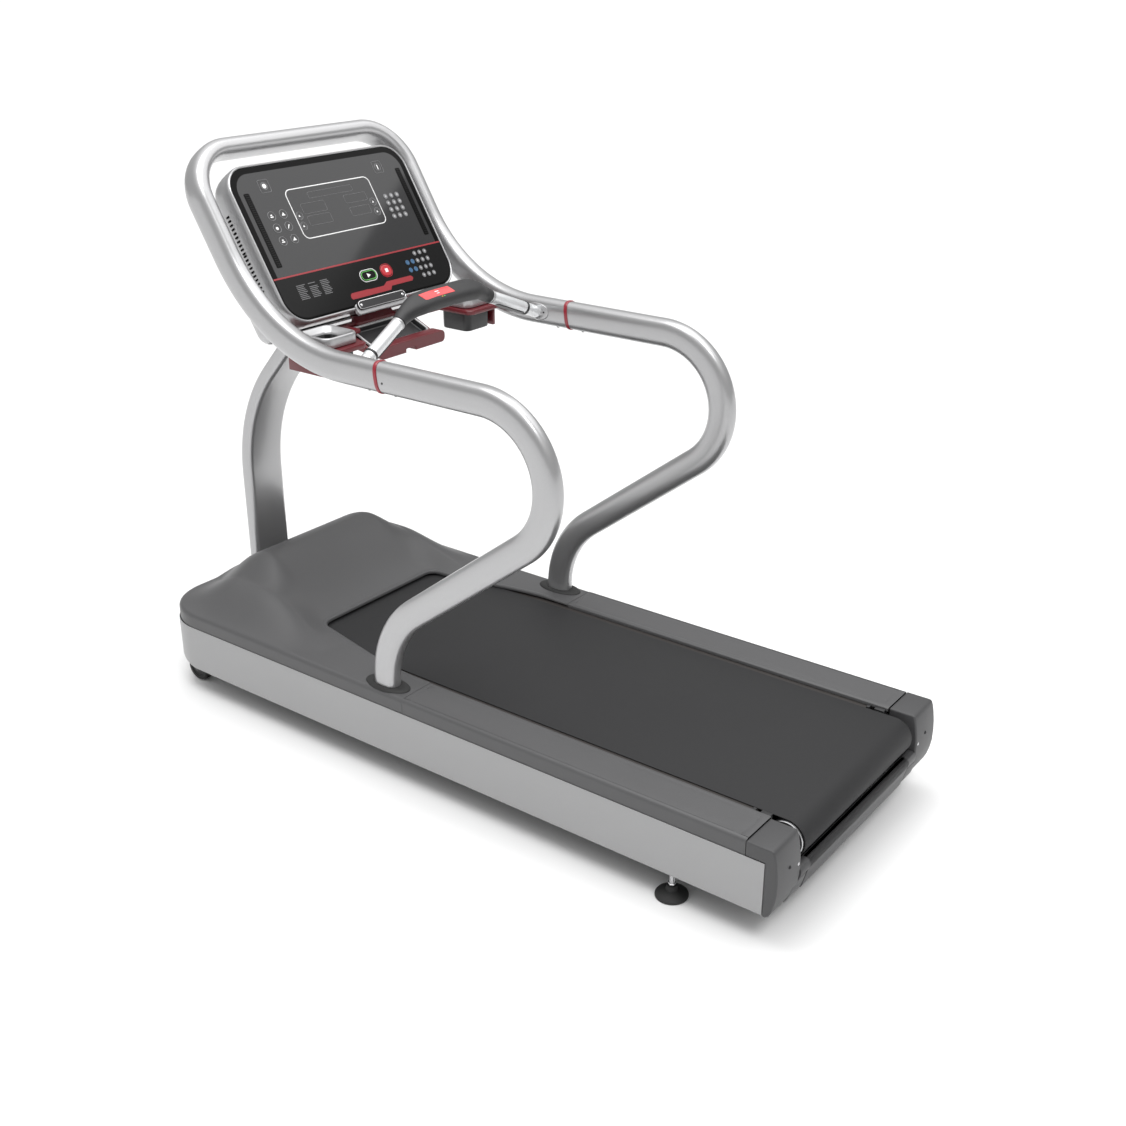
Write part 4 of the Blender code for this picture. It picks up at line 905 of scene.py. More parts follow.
wheelSpec = {"x": 0.340, "y": 0.957, "z": 0.040}
for side, label, body, node in ((-1, "liftWheelLeft", "lift_wheel_l", "lift_wheel_l"),
                                (1, "liftWheelRight", "lift_wheel_r", "lift_wheel_r")):
    at = (side * wheelSpec["x"], wheelSpec["y"], wheelSpec["z"])
    tyre = [(0.0270, -0.0165), (0.0350, -0.0168), (0.0378, -0.0155), (0.0392, -0.0130), (0.0399, -0.0080),
            (0.0400, 0.0), (0.0399, 0.0080),
            (0.0392, 0.0130), (0.0378, 0.0155), (0.0350, 0.0168), (0.0270, 0.0165)]
    addPiece(label, ringTurned(tyre, at, "X", 72), "rubber", body, (node,))
    hub = [(0.0092, -0.0160), (0.0140, -0.0160), (0.0150, -0.0120), (0.0240, -0.0105), (0.0272, -0.0140),
           (0.0272, 0.0140), (0.0240, 0.0105),
           (0.0150, 0.0120), (0.0140, 0.0160), (0.0092, 0.0160)]
    addPiece(label + "Hub", ringTurned(hub, at, "X", 48), "darkRubber", body)
bolts = []
for side in (-1, 1):
    cap = turned([(0.0, 0.0), (0.0060, 0.0), (0.0060, 0.0030), (0.0048, 0.0042), (0.0, 0.0042)], (0, 0, 0), "X",
                 24)
    cap = cap if side > 0 else mirrored(cap)
    bolts.append(placed(cap, Matrix.Translation((side * 0.3565, wheelSpec["y"], wheelSpec["z"]))))
addPiece("wheelBolts", merge(*bolts), "steel", "lift")
print("rear, feet and wheels built")

# handrails, loop, mast

tubeSpec = {"x": 0.371, "halfAcross": 0.0237, "halfDeep": 0.0373, "power": 2.75, "top": 1.0943, "rear": -0.3839,
            "bend": 0.186,
            "slope": 37.2, "footBend": 0.2756, "footY": 0.1454, "footZ": 0.1890, "collarY": 0.107}
tubeSection = superOval(tubeSpec["halfAcross"], tubeSpec["halfDeep"], tubeSpec["power"], 64)


def inUprightPlane(x, points):
    path = []
    count = len(points)
    for i, (y, z) in enumerate(points):
        a, b = points[max(i - 1, 0)], points[min(i + 1, count - 1)]
        ty, tz = b[0] - a[0], b[1] - a[1]
        size = math.hypot(ty, tz)
        path.append(((x, y, z), (1, 0, 0), (0, -tz / size, ty / size), 1.0))
    return path


def handrailLine(spec):
    slope = math.radians(spec["slope"])
    centre = (spec["rear"] + spec["bend"], spec["top"] - spec["bend"])
    rear = arcPoints(*centre, spec["bend"], 270 - spec["slope"], 90, 2.5)
    y0, z0 = rear[0]
    startY = spec["footY"] - spec["footBend"] + spec["footBend"] * math.sin(slope)
    startZ = z0 - (startY - y0) * math.tan(slope)
    footZ = startZ - spec["footBend"] * math.cos(slope)
    foot = arcPoints(spec["footY"] - spec["footBend"], footZ, spec["footBend"], 0, 90 - spec["slope"], 2.5)
    return [(spec["footY"], spec["footZ"]),
            (spec["footY"], footZ - 0.02)] + foot + rear + [(-0.10, spec["top"]), (0.0, spec["top"]),
            (spec["collarY"] - 0.0003, spec["top"])]


for side, label, node in ((-1, "handrailLeft", "handrail_l"), (1, "handrailRight", "handrail_r")):
    solid = sweep(inUprightPlane(side * tubeSpec["x"], handrailLine(tubeSpec)), tubeSection)
    addPiece(label, solid, "tubeSilver", stands=(node,), sharp=45)

loopSpec = {"bend": 0.455, "bendY": 0.234, "tilt": 59.0, "top": 1.545, "corner": 0.130}


def loopPath(spec):
    tilt = math.radians(spec["tilt"])
    cos, sin = math.cos(tilt), math.sin(tilt)
    side = [(tubeSpec["collarY"] + 0.0003, tubeSpec["top"]), (0.15, tubeSpec["top"]), (0.20, tubeSpec["top"])]
    side += arcPoints(spec["bendY"], tubeSpec["top"] + spec["bend"], spec["bend"], 270, 270 + spec["tilt"], 2.0)
    path = inUprightPlane(-tubeSpec["x"], side)
    y0, z0 = side[-1]
    path[-1] = ((-tubeSpec["x"], y0, z0), (1, 0, 0), (0, -sin, cos), 1.0)
    run = (spec["top"] - z0) / sin
    r = spec["corner"]
    for i in range(37):
        t = math.radians(180 - 90 * i / 36)
        across, along = -tubeSpec["x"] + r + r * math.cos(t), run - r + r * math.sin(t)
        tangent = (math.sin(t), -math.cos(t))
        inPlane = (tangent[1], -tangent[0] * cos, -tangent[0] * sin)
        path.append(((across, y0 + along * cos, z0 + along * sin), inPlane, (0, -sin, cos), 1.0))
    back = [((-p[0][0], p[0][1], p[0][2]), (-p[1][0], p[1][1], p[1][2]), p[2], p[3]) for p in path[::-1]]
    return path, back


firstHalf, secondHalf = loopPath(loopSpec)
loopPathAll = firstHalf + [((p[0]), p[1], p[2], p[3]) for p in secondHalf]
addPiece("consoleLoop", sweep(loopPathAll, tubeSection), "tubeSilver",
         stands=("console_loop",), sharp=45)

collarSpec = {"half": 0.0052, "proud": 0.0022, "lean": 0.010}
for side, label, node in ((-1, "collarLeft", "collar_l"), (1, "collarRight", "collar_r")):
    rings = []
    bite, proud, half = 0.0012, collarSpec["proud"], collarSpec["half"]
    for grow, along in ((-bite, -half), (proud * 0.6, -half), (proud * 0.95, -half * 0.75),
                        (proud, -half * 0.4), (proud, half * 0.4),
                        (proud * 0.95, half * 0.75), (proud * 0.6, half), (-bite, half)):
        ring = []
        for a, b in superOval(tubeSpec["halfAcross"] + grow, tubeSpec["halfDeep"] + grow, tubeSpec["power"],
                              64):
            ring.append((side * tubeSpec["x"] + a,
                         tubeSpec["collarY"] + along + collarSpec["lean"] * (b / tubeSpec["halfDeep"]) * 0.5,
                         tubeSpec["top"] + b))
        rings.append(ring)
    points, faces = loft(rings, (False, False), True, True)
    addPiece(label, (points, faces), "collarRed", stands=(node,), sharp=50)

grommetSpec = {"halfX": 0.0363, "halfY": 0.0718, "low": 0.2572, "high": 0.2668}
for side, label, node in ((-1, "railGrommetLeft", "rail_grommet_l"), (1, "railGrommetRight", "rail_grommet_r")):
    rings = []
    tight = 0.0004
    for grow, z in ((0.0, 0.2572), (0.0, 0.2588), (-0.0010, 0.2612), (-0.0030, 0.2634), (-0.0060, 0.2650),
                    (-0.0090, 0.2660)):
        rings.append([(side * tubeSpec["x"] + a, tubeSpec["footY"] + b, z)
                      for a, b in superOval(grommetSpec["halfX"] + grow, grommetSpec["halfY"] + grow, 2.1, 64)])
    for grow, z in ((0.0012, 0.2668), (tight, 0.2664), (tight, 0.2572)):
        rings.append([(side * tubeSpec["x"] + a, tubeSpec["footY"] + b, z)
                      for a, b in superOval(tubeSpec["halfAcross"] + grow, tubeSpec["halfDeep"] + grow,
                                            tubeSpec["power"], 64)])
    addPiece(label, loft(rings, (False, False), True, True), "rubber", stands=(node,),
             sharp=40)

padSpec = {"halfX": 0.0405, "halfY": 0.0790}
pads = []
for side in (-1, 1):
    line = [(side * tubeSpec["x"] + a, tubeSpec["footY"] + 0.004 + b,
             hoodHeight(tubeSpec["x"], tubeSpec["footY"]) + 0.0002)
            for a, b in superOval(padSpec["halfX"], padSpec["halfY"], 2.3, 72)]
    pads.append(wireLoop("padLine", [p for p in line if abs(p[0]) < 0.406], 0.0009, "hoodGrey", closed=False,
                         sides=8))
addPiece("grommetPads", merge(*pads), "hoodGrey")

mastSpec = {"half": 0.065, "deep": 0.045, "round": 0.014, "y": 1.0025, "bendZ": 0.560, "bend": 0.4995,
            "lean": 42.5, "run": 0.400,
            "foot": 0.1055}


def mastLine(spec):
    lean = math.radians(spec["lean"])
    line = [(spec["y"], spec["foot"]), (spec["y"], 0.24), (spec["y"], 0.40), (spec["y"], spec["bendZ"] - 0.02)]
    line += arcPoints(spec["y"] - spec["bend"], spec["bendZ"], spec["bend"], 0, spec["lean"], 1.5)
    y, z = line[-1]
    return line + [(y - spec["run"] * math.sin(lean) * t, z + spec["run"] * math.cos(lean) * t) for t in (0.3,
            0.6, 1.0)]


def mastSection(spec):
    outer = roundedLoop(spec["half"], spec["deep"] / 2, spec["round"], 8)
    loop = []
    for a, b in outer:
        pull = 0.0
        if abs(a) > spec["half"] - 0.0005:
            pull = 0.0
        loop.append((math.copysign(abs(a) - pull, a), b))
    return loop


addPiece("mast", sweep(inUprightPlane(0.0, mastLine(mastSpec)), mastSection(mastSpec)), "tubeSilver",
         stands=("mast",), sharp=40)
gasket = []
for grow, z in ((0.0052, 0.0), (0.0052, 0.0022), (0.0040, 0.0034), (0.0016, 0.0042), (0.0003, 0.0040),
                (0.0003, 0.0)):
    loop = roundedLoop(mastSpec["half"] + grow, mastSpec["deep"] / 2 + grow, mastSpec["round"] + grow, 8,
                       (0.0, mastSpec["y"]))
    gasket.append([(a, b, hoodHeight(a, b) + z - 0.0012) for a, b in loop])
addPiece("mastGasket", loft(gasket, (False, False), True, True), "darkRubber", sharp=40)
print("tubes and mast built")

# console: its own plane has x across, u up the face, w out of it

facePlane = Matrix.Translation((0.0, 0.466, 1.155)) @ Matrix.Rotation(math.radians(58.7), 4, "X")
consoleSpec = {"half": 0.312, "high": 0.412, "corner": 0.062, "rimHalf": 0.320, "rimLow": -0.010,
               "rimHigh": 0.420, "rimCorner": 0.070,
               "deep": 0.085, "redLine": 0.1165, "bezel": 0.0165}


def onFace(solid):
    return placed(solid, facePlane)


def buildShell(spec):
    halfU = (spec["rimHigh"] - spec["rimLow"]) / 2
    centre = (0.0, (spec["rimHigh"] + spec["rimLow"]) / 2)
    profile = [(0.0078, -0.0080), (0.0076, 0.0004), (0.0066, 0.0016), (0.0050, 0.0020), (0.0034, 0.0012),
               (0.0020, -0.0008), (0.0009, -0.0045),
               (0.0002, -0.0100), (0.0, -0.0180), (0.0002, -0.0300), (0.0012, -0.0450), (0.0032, -0.0600),
               (0.0065, -0.0710),
               (0.0110, -0.0780), (0.0170, -0.0825), (0.0250, -0.0848), (0.0400, -0.0850)]
    return roundedSlab(spec["rimHalf"], halfU, spec["rimCorner"], profile, centre, 14, (False, True))


shellPoints, shellFaces = buildShell(consoleSpec)
shellSolid = thicken((shellPoints, shellFaces), 0.0030)
inside = [p for p in shellSolid[0][len(shellPoints):]]
if max(abs(p[0]) for p in inside) > consoleSpec["rimHalf"] + 0.0005:
    shellSolid = thicken((shellPoints, [f[::-1] for f in shellFaces]), 0.0030)
addPiece("consoleShell", onFace(shellSolid), "caseSilver", stands=("console_shell",),
         sharp=40)

centreU = consoleSpec["high"] / 2
plate = roundedSlab(consoleSpec["half"], centreU, consoleSpec["corner"], softEdge(-0.0068, 0.0000, 0.0012, 4),
                    (0.0, centreU), 14)
addPiece("consoleBezel", onFace(plate), "bezelBlack", stands=("console_face",),
         sharp=35)


def cornerOutline(left, right, low, high, cornerLow, cornerHigh, steps=12):
    loop = []
    for cx, cy, r, start in ((right - cornerLow, low + cornerLow, cornerLow, -90),
                             (right - cornerHigh, high - cornerHigh, cornerHigh, 0),
                             (left + cornerHigh, high - cornerHigh, cornerHigh, 90),
                             (left + cornerLow, low + cornerLow, cornerLow, 180)):
        if r < 0.0005:
            loop.append((cx, cy))
            continue
        loop += arcPoints(cx, cy, r, start, start + 90, 90 / steps)
    return loop


def sheetOnFace(outline, low, high, bevel=0.0):
    return onFace(prism(outline, low, high, "Z", bevel, 2))


edge = consoleSpec["bezel"]
topSheet = cornerOutline(-consoleSpec["half"] + edge, consoleSpec["half"] - edge,
                         consoleSpec["redLine"] + 0.0022, consoleSpec["high"] - edge, 0.0, 0.050)
addPiece("faceTopSheet", sheetOnFace(topSheet, -0.0010, 0.0003), "faceGrey")
lowSheet = cornerOutline(-consoleSpec["half"] + 0.004, consoleSpec["half"] - 0.004, 0.004,
                         consoleSpec["redLine"] - 0.0022, 0.058, 0.0)
addPiece("faceLowSheet", sheetOnFace(lowSheet, -0.0010, 0.00028), "faceDark")
redLine = [(-consoleSpec["half"] + 0.0016, consoleSpec["redLine"] - 0.0021),
           (consoleSpec["half"] - 0.0016, consoleSpec["redLine"] - 0.0021),
           (consoleSpec["half"] - 0.0016, consoleSpec["redLine"] + 0.0021),
           (-consoleSpec["half"] + 0.0016, consoleSpec["redLine"] + 0.0021)]
redStep = [(-0.088, 0.0190), (0.056, 0.0190), (0.064, 0.0290), (0.146, 0.0290), (0.152, 0.0345),
           (0.152, 0.0390), (0.146, 0.0435),
           (0.052, 0.0435), (0.036, 0.0345), (-0.012, 0.0345), (-0.024, 0.0360), (-0.084, 0.0360),
           (-0.090, 0.0320), (-0.092, 0.0240)]
addPiece("faceRed", merge(sheetOnFace(redLine, -0.0006, 0.00055), sheetOnFace(redStep, -0.0006, 0.00050)),
         "printRed")

# display: white outline, dark windows, faint inner boxes
displaySpec = {"half": 0.153, "low": 0.200, "high": 0.338, "corner": 0.019, "wire": 0.0016}
centre = (0.0, (displaySpec["low"] + displaySpec["high"]) / 2)
halfU = (displaySpec["high"] - displaySpec["low"]) / 2


def faceLoop(half, halfHigh, radius, middle, w, steps=8):
    return [facePlane @ Vector((a, b, w)) for a, b in roundedLoop(half, halfHigh, radius, steps, middle)]


glass = roundedSlab(displaySpec["half"], halfU, displaySpec["corner"],
                    [(0.0, -0.0005), (0.0, 0.00045), (0.0004, 0.0006)], centre, 8)
addPiece("displayGlass", onFace(glass), "faceGrey")
frameRing = []
for inset, w in ((0.0, 0.0003), (0.0, 0.0008), (0.0004, 0.0010), (displaySpec["wire"] * 1.35, 0.0010),
                 (displaySpec["wire"] * 1.6, 0.0008),
                 (displaySpec["wire"] * 1.6, 0.0003)):
    frameRing.append([(a, b, w) for a, b in roundedLoop(displaySpec["half"] - inset, halfU - inset,
                                                        displaySpec["corner"] - inset, 10, centre)])
addPiece("displayOutline", onFace(loft(frameRing, (False, False), True, True)), "printWhite")
faint = []
for left, right, low, high in ((-0.080, 0.080, 0.305, 0.322), (-0.119, -0.036, 0.266, 0.294),
                               (-0.115, -0.034, 0.233, 0.259),
                               (0.037, 0.118, 0.273, 0.296), (0.040, 0.113, 0.236, 0.260)):
    faint.append(wireLoop("windowLine", faceLoop((right - left) / 2, (high - low) / 2, 0.004,
                                                 ((left + right) / 2, (low + high) / 2), 0.0007, 4),
                          0.00042, "printGrey"))
addPiece("displayWindows", merge(*faint), "printGrey")

# round membrane keys with rings and plain marks
def ringKey(x, u, radius, wire=0.0006, w=0.0005):
    return wireLoop("keyRing", [facePlane @ Vector((x + radius * math.cos(math.tau * i / 28),
                                                    u + radius * math.sin(math.tau * i / 28), w))
                                for i in range(28)], wire, "printGrey")


def facePatch(outline, w=0.0007):
    return sheetOnFace(outline, 0.0, w)


def discPatch(x, u, radius, w=0.0007, sides=20):
    return facePatch([(x + radius * math.cos(math.tau * i / sides),
                       u + radius * math.sin(math.tau * i / sides)) for i in range(sides)], w)


keyRings, keyMarks = [], []
for column, x in enumerate((-0.226, -0.187)):
    for row, u in enumerate((0.277, 0.2435, 0.2085)):
        keyRings.append(ringKey(x, u, 0.0118, 0.0009))
        kind = (column + 2 * row) % 4
        if kind == 0:
            keyMarks.append(facePatch([(x - 0.005, u - 0.004), (x + 0.005, u - 0.004), (x + 0.005, u - 0.001),
                                       (x - 0.005, u - 0.001)]))
            keyMarks.append(facePatch([(x - 0.003, u + 0.001), (x + 0.003, u + 0.001), (x + 0.003, u + 0.004),
                                       (x - 0.003, u + 0.004)]))
        elif kind == 1:
            keyMarks.append(facePatch([(x - 0.006, u - 0.004), (x + 0.006, u - 0.004), (x + 0.001, u + 0.005),
                                       (x - 0.002, u + 0.001)]))
        elif kind == 2:
            keyMarks.append(discPatch(x, u, 0.0042))
        else:
            keyMarks.append(facePatch([(x - 0.005, u - 0.0055), (x - 0.002, u - 0.0055), (x + 0.005, u + 0.005),
                                       (x + 0.002, u + 0.005)]))
for x in (-0.1385, 0.1325):
    for u in (0.264, 0.2355):
        keyRings.append(ringKey(x, u, 0.0108, 0.0008, 0.0009))
        keyRings.append(ringKey(x, u, 0.0078, 0.0005, 0.0009))
        keyMarks.append(facePatch([(x - 0.0035, u - 0.0022), (x + 0.0035, u - 0.0022), (x, u + 0.0036)],
                                  0.0010))
for x in (-0.206, 0.206):
    u = 0.357
    keyRings.append(wireLoop("squareKey", faceLoop(0.0170, 0.0170, 0.0045, (x, u), 0.0005, 5), 0.0006,
                             "printGrey"))
    keyRings.append(ringKey(x, u, 0.0098, 0.0009))
keyMarks.append(discPatch(-0.206, 0.357, 0.0064))
keyMarks.append(facePatch([(0.2045, 0.3500), (0.2075, 0.3500), (0.2075, 0.3635), (0.2045, 0.3635)]))
addPiece("keyRings", merge(*keyRings), "printGrey")
addPiece("keyMarks", merge(*keyMarks), "printWhite")


def domeKey(radius=0.0078, high=0.0009):
    profile = [(0.0, -0.0004), (radius, -0.0004), (radius, high * 0.4), (radius * 0.93, high * 0.85),
               (radius * 0.82, high), (radius * 0.62, high * 0.55), (0.0, high * 0.5)]
    return turned(profile, (0, 0, 0), "Z", 20)


upperPad = onGrid("upperKeypad", domeKey(0.0073), "printGrey", 3, 4, 0.0225, 0.0196)
upperDots = onGrid("upperDots", turned([(0.0, 0.0), (0.0030, 0.0), (0.0030, 0.0009), (0.0025, 0.0011),
                                        (0.0, 0.0011)], (0, 0, 0), "Z", 12), "printWhite", 3, 4, 0.0225, 0.0196)
upperPlace = facePlane @ Matrix.Translation((0.209, 0.2425, 0.0006))
lowerPlace = facePlane @ Matrix.Translation((0.2175, 0.0680, 0.0006))
lowerPad = onGrid("lowerKeypad", domeKey(0.0066), "printGrey", 3, 4, 0.0205, 0.0215)
lowerDots = onGrid("lowerDots", turned([(0.0, 0.0), (0.0027, 0.0), (0.0027, 0.0009), (0.0022, 0.0011),
                                        (0.0, 0.0011)], (0, 0, 0), "Z", 12), "printWhite", 3, 4, 0.0205, 0.0215)
addPiece("keypadKeys", merge(placed(upperPad, upperPlace), placed(lowerPad, lowerPlace)), "printGrey")
addPiece("keypadMarks", merge(placed(upperDots, upperPlace), placed(lowerDots, lowerPlace)), "printPale")
bluePlace = facePlane @ Matrix.Translation((0.167, 0.0685, 0.0006))
addPiece("blueKeys", placed(onGrid("blueKeypad", domeKey(0.0070), "printBlue", 2, 2, 0.0205, 0.0225),
                            bluePlace), "printBlue")

# speaker slots and printed strokes
barUnit = prism(roundedLoop(0.0062, 0.0011, 0.0010, 3), -0.0003, 0.0009, "Z", 0.0)
slots = onGrid("speakerSlots", barUnit, "bezelBlack", 1, 34, 0.01, 0.0058)
speakers = merge(placed(slots, facePlane @ Matrix.Translation((-0.2735, 0.2445, 0.0003))),
                 placed(slots, facePlane @ Matrix.Translation((0.2760, 0.2445, 0.0003))))
addPiece("speakerBars", speakers, "faceDark")
strips = [onFace(roundedSlab(0.0092, 0.1010, 0.0040, [(0.0, -0.0004), (0.0, 0.00040), (0.0003, 0.0005)],
                             (x, 0.2445), 4)) for x in (-0.2735, 0.2760)]
addPiece("speakerFrames", merge(*strips), "bezelBlack")
strokes = []
for column, x in enumerate((-0.236, -0.195, -0.154)):
    for row in range(9):
        width = 0.0150 - 0.0030 * ((row * 7 + column * 3) % 4) / 3
        u = 0.0875 - row * 0.0046
        if row == 1 and column == 1:
            continue
        strokes.append(facePatch([(x - 0.0155, u), (x - 0.0155 + 2 * width, u),
                                  (x - 0.0155 + 2 * width, u + 0.0017), (x - 0.0155, u + 0.0017)], 0.0005))
addPiece("printedLines", merge(*strokes), "printGrey")

# start and stop keys on their own bodies
keySpec = {"start": (0.0, 0.0715, 0.0283, 0.0138, 0.0136), "stop": (0.069, 0.073, 0.0185, 0.0158, 0.0150)}
startX, startU, startHalf, startHigh, startRound = keySpec["start"]
stopX, stopU, stopHalf, stopHigh, stopRound = keySpec["stop"]
keyProfile = [(0.0, -0.0090), (0.0, -0.0004), (0.0004, 0.0008), (0.0014, 0.0014), (0.0030, 0.0016)]
addPiece("startKey", onFace(roundedSlab(startHalf, startHigh, startRound, keyProfile, (startX, startU), 10)),
         "faceDark", "start_button",
         ("start_button",))
addPiece("stopKey", onFace(roundedSlab(stopHalf, stopHigh, stopRound, keyProfile, (stopX, stopU), 10)),
         "stopRed", "stop_button",
         ("stop_button",))
addPiece("startRing", wireLoop("startRing",
                               faceLoop(startHalf - 0.0022, startHigh - 0.0022, startRound - 0.0022,
                                        (startX, startU), 0.0015, 8), 0.0013, "printGreen"),
         "printGreen", "start_button")
addPiece("startArrow", sheetOnFace([(startX - 0.0055, startU - 0.0060), (startX + 0.0070, startU),
                                    (startX - 0.0055, startU + 0.0060)], 0.0012, 0.0021),
         "printWhite", "start_button")
addPiece("stopSquare", sheetOnFace([(stopX - 0.0052, stopU - 0.0052), (stopX + 0.0052, stopU - 0.0052),
                                    (stopX + 0.0052, stopU + 0.0052), (stopX - 0.0052, stopU + 0.0052)],
                                   0.0012, 0.0021), "printWhite", "stop_button")
rims = [wireLoop("keyRim", faceLoop(startHalf + 0.0022, startHigh + 0.0022, startRound + 0.0022,
                                    (startX, startU), 0.0004, 8), 0.0011, "printWhite")]
addPiece("stopRim", wireLoop("stopRim", faceLoop(stopHalf + 0.0022, stopHigh + 0.0022, stopRound + 0.0022,
                                                 (stopX, stopU), 0.0004, 8), 0.0009, "stopRed"),
         "stopRed")
addPiece("keyRims", merge(*rims), "printWhite")

# port plate over the face's lower edge, with its silver line, screws and bracket
portSpec = {"half": 0.0896, "high": 0.0126, "u": -0.0022, "round": 0.0118}
port = roundedSlab(portSpec["half"], portSpec["high"], portSpec["round"], softEdge(0.0006, 0.0098, 0.0016, 4),
                   (0.0, portSpec["u"]), 10)
addPiece("portPlate", onFace(port), "blackPlastic", stands=("port_plate",))
trim = wireLoop("portTrim", faceLoop(portSpec["half"] - 0.0018, portSpec["high"] - 0.0018,
                                     portSpec["round"] - 0.0018, (0.0, portSpec["u"]), 0.0098, 8), 0.0011,
                "chrome")
portScrews = [placed(screwHead(0.0036, 0.0014),
                     facePlane @ Matrix.Translation((x, portSpec["u"], 0.0097))) for x in (-0.078, 0.078)]
addPiece("portTrim", merge(trim, *[(p, f) for p, f in portScrews]), "chrome")
bracket = roundedSlab(0.0950, 0.0150, 0.0080, softEdge(-0.0060, 0.0046, 0.0018, 3), (0.0, -0.0100), 6)
addPiece("portBracket", onFace(bracket), "caseSilver")

# louvres in the shell's sides
ventUnit = blockSolid((-0.0016, -0.0024, -0.0055), (0.0016, 0.0024, 0.0055), 0.0004, 2)
ventSpec = {"w": -0.0470, "groups": ((0.107, 0.206), (0.212, 0.311)), "step": 0.0109}
vents = []
for low, high in ventSpec["groups"]:
    rows = int((high - low) / ventSpec["step"]) + 1
    for row in range(rows):
        for side in (-1, 1):
            lift = 0.012 * math.sin(math.pi * (low + row * ventSpec["step"] - 0.108) / 0.201)
            spot = facePlane @ Matrix.Translation((side * 0.3190, low + row * ventSpec["step"],
                                                   ventSpec["w"] - lift * 0.2))
            vents.append(placed(ventUnit, spot))
addPiece("shellVents", merge(*vents), "bezelBlack")

# shroud behind the console


def buildShroud():
    profile = [(0.0, -0.0852), (0.0, -0.0950), (0.0008, -0.1200), (0.0028, -0.1500), (0.0065, -0.1750),
               (0.0120, -0.1920), (0.0200, -0.2010),
               (0.0300, -0.2045), (0.0450, -0.2050)]
    solid = roundedSlab(0.285, 0.1065, 0.045, profile, (0.0, 0.0985), 12, (False, True))
    return solid


shroudPoints, shroudFaces = buildShroud()
shroudSolid = thicken((shroudPoints, [f[::-1] for f in shroudFaces]), 0.0030)
if max(abs(p[0]) for p in shroudSolid[0][len(shroudPoints):]) > 0.2855:
    shroudSolid = thicken((shroudPoints, shroudFaces), 0.0030)
addPiece("mastShroud", onFace(shroudSolid), "caseSilver", stands=("mast_shroud",),
         sharp=40)
# slots in the shroud's sides are not cut: raised near-black ovals paint the shade inside each opening
ovals = []
for side in (-1, 1):
    loop = superOval(0.0260, 0.0095, 2.4, 40)
    solid = prism(loop, -0.0008, 0.0010, "X", 0.0004, 2)
    place = facePlane @ Matrix.Translation((side * 0.2846, 0.060, -0.1180)) @ Matrix.Rotation(math.radians(8),
                                                                                              4, "X")
    ovals.append(placed(solid, place))
addPiece("shroudSlots", merge(*ovals), "bezelBlack")
seam = wireLoop("shroudSeam", [facePlane @ Vector((a, b, -0.0858)) for a,
                               b in roundedLoop(0.2856, 0.1071, 0.0456, 12, (0.0, 0.0985))], 0.0008,
                "darkRubber")
addPiece("shroudSeam", seam, "darkRubber")

# grips and the grip bar between them

gripSpec = {"start": (0.3400, 0.2050, 1.0960), "end": (0.1760, 0.2320, 1.1650), "radius": 0.0170}


def gripFrame(spec, side):
    start = Vector((side * spec["start"][0], spec["start"][1], spec["start"][2]))
    end = Vector((side * spec["end"][0], spec["end"][1], spec["end"][2]))
    along = (end - start).normalized()
    down = Vector((0.0, -0.35, -1.0))
    down = (down - along * down.dot(along)).normalized()
    across = along.cross(down)
    matrix = Matrix((down, across, along)).transposed().to_4x4()
    matrix.translation = start
    return matrix, (end - start).length


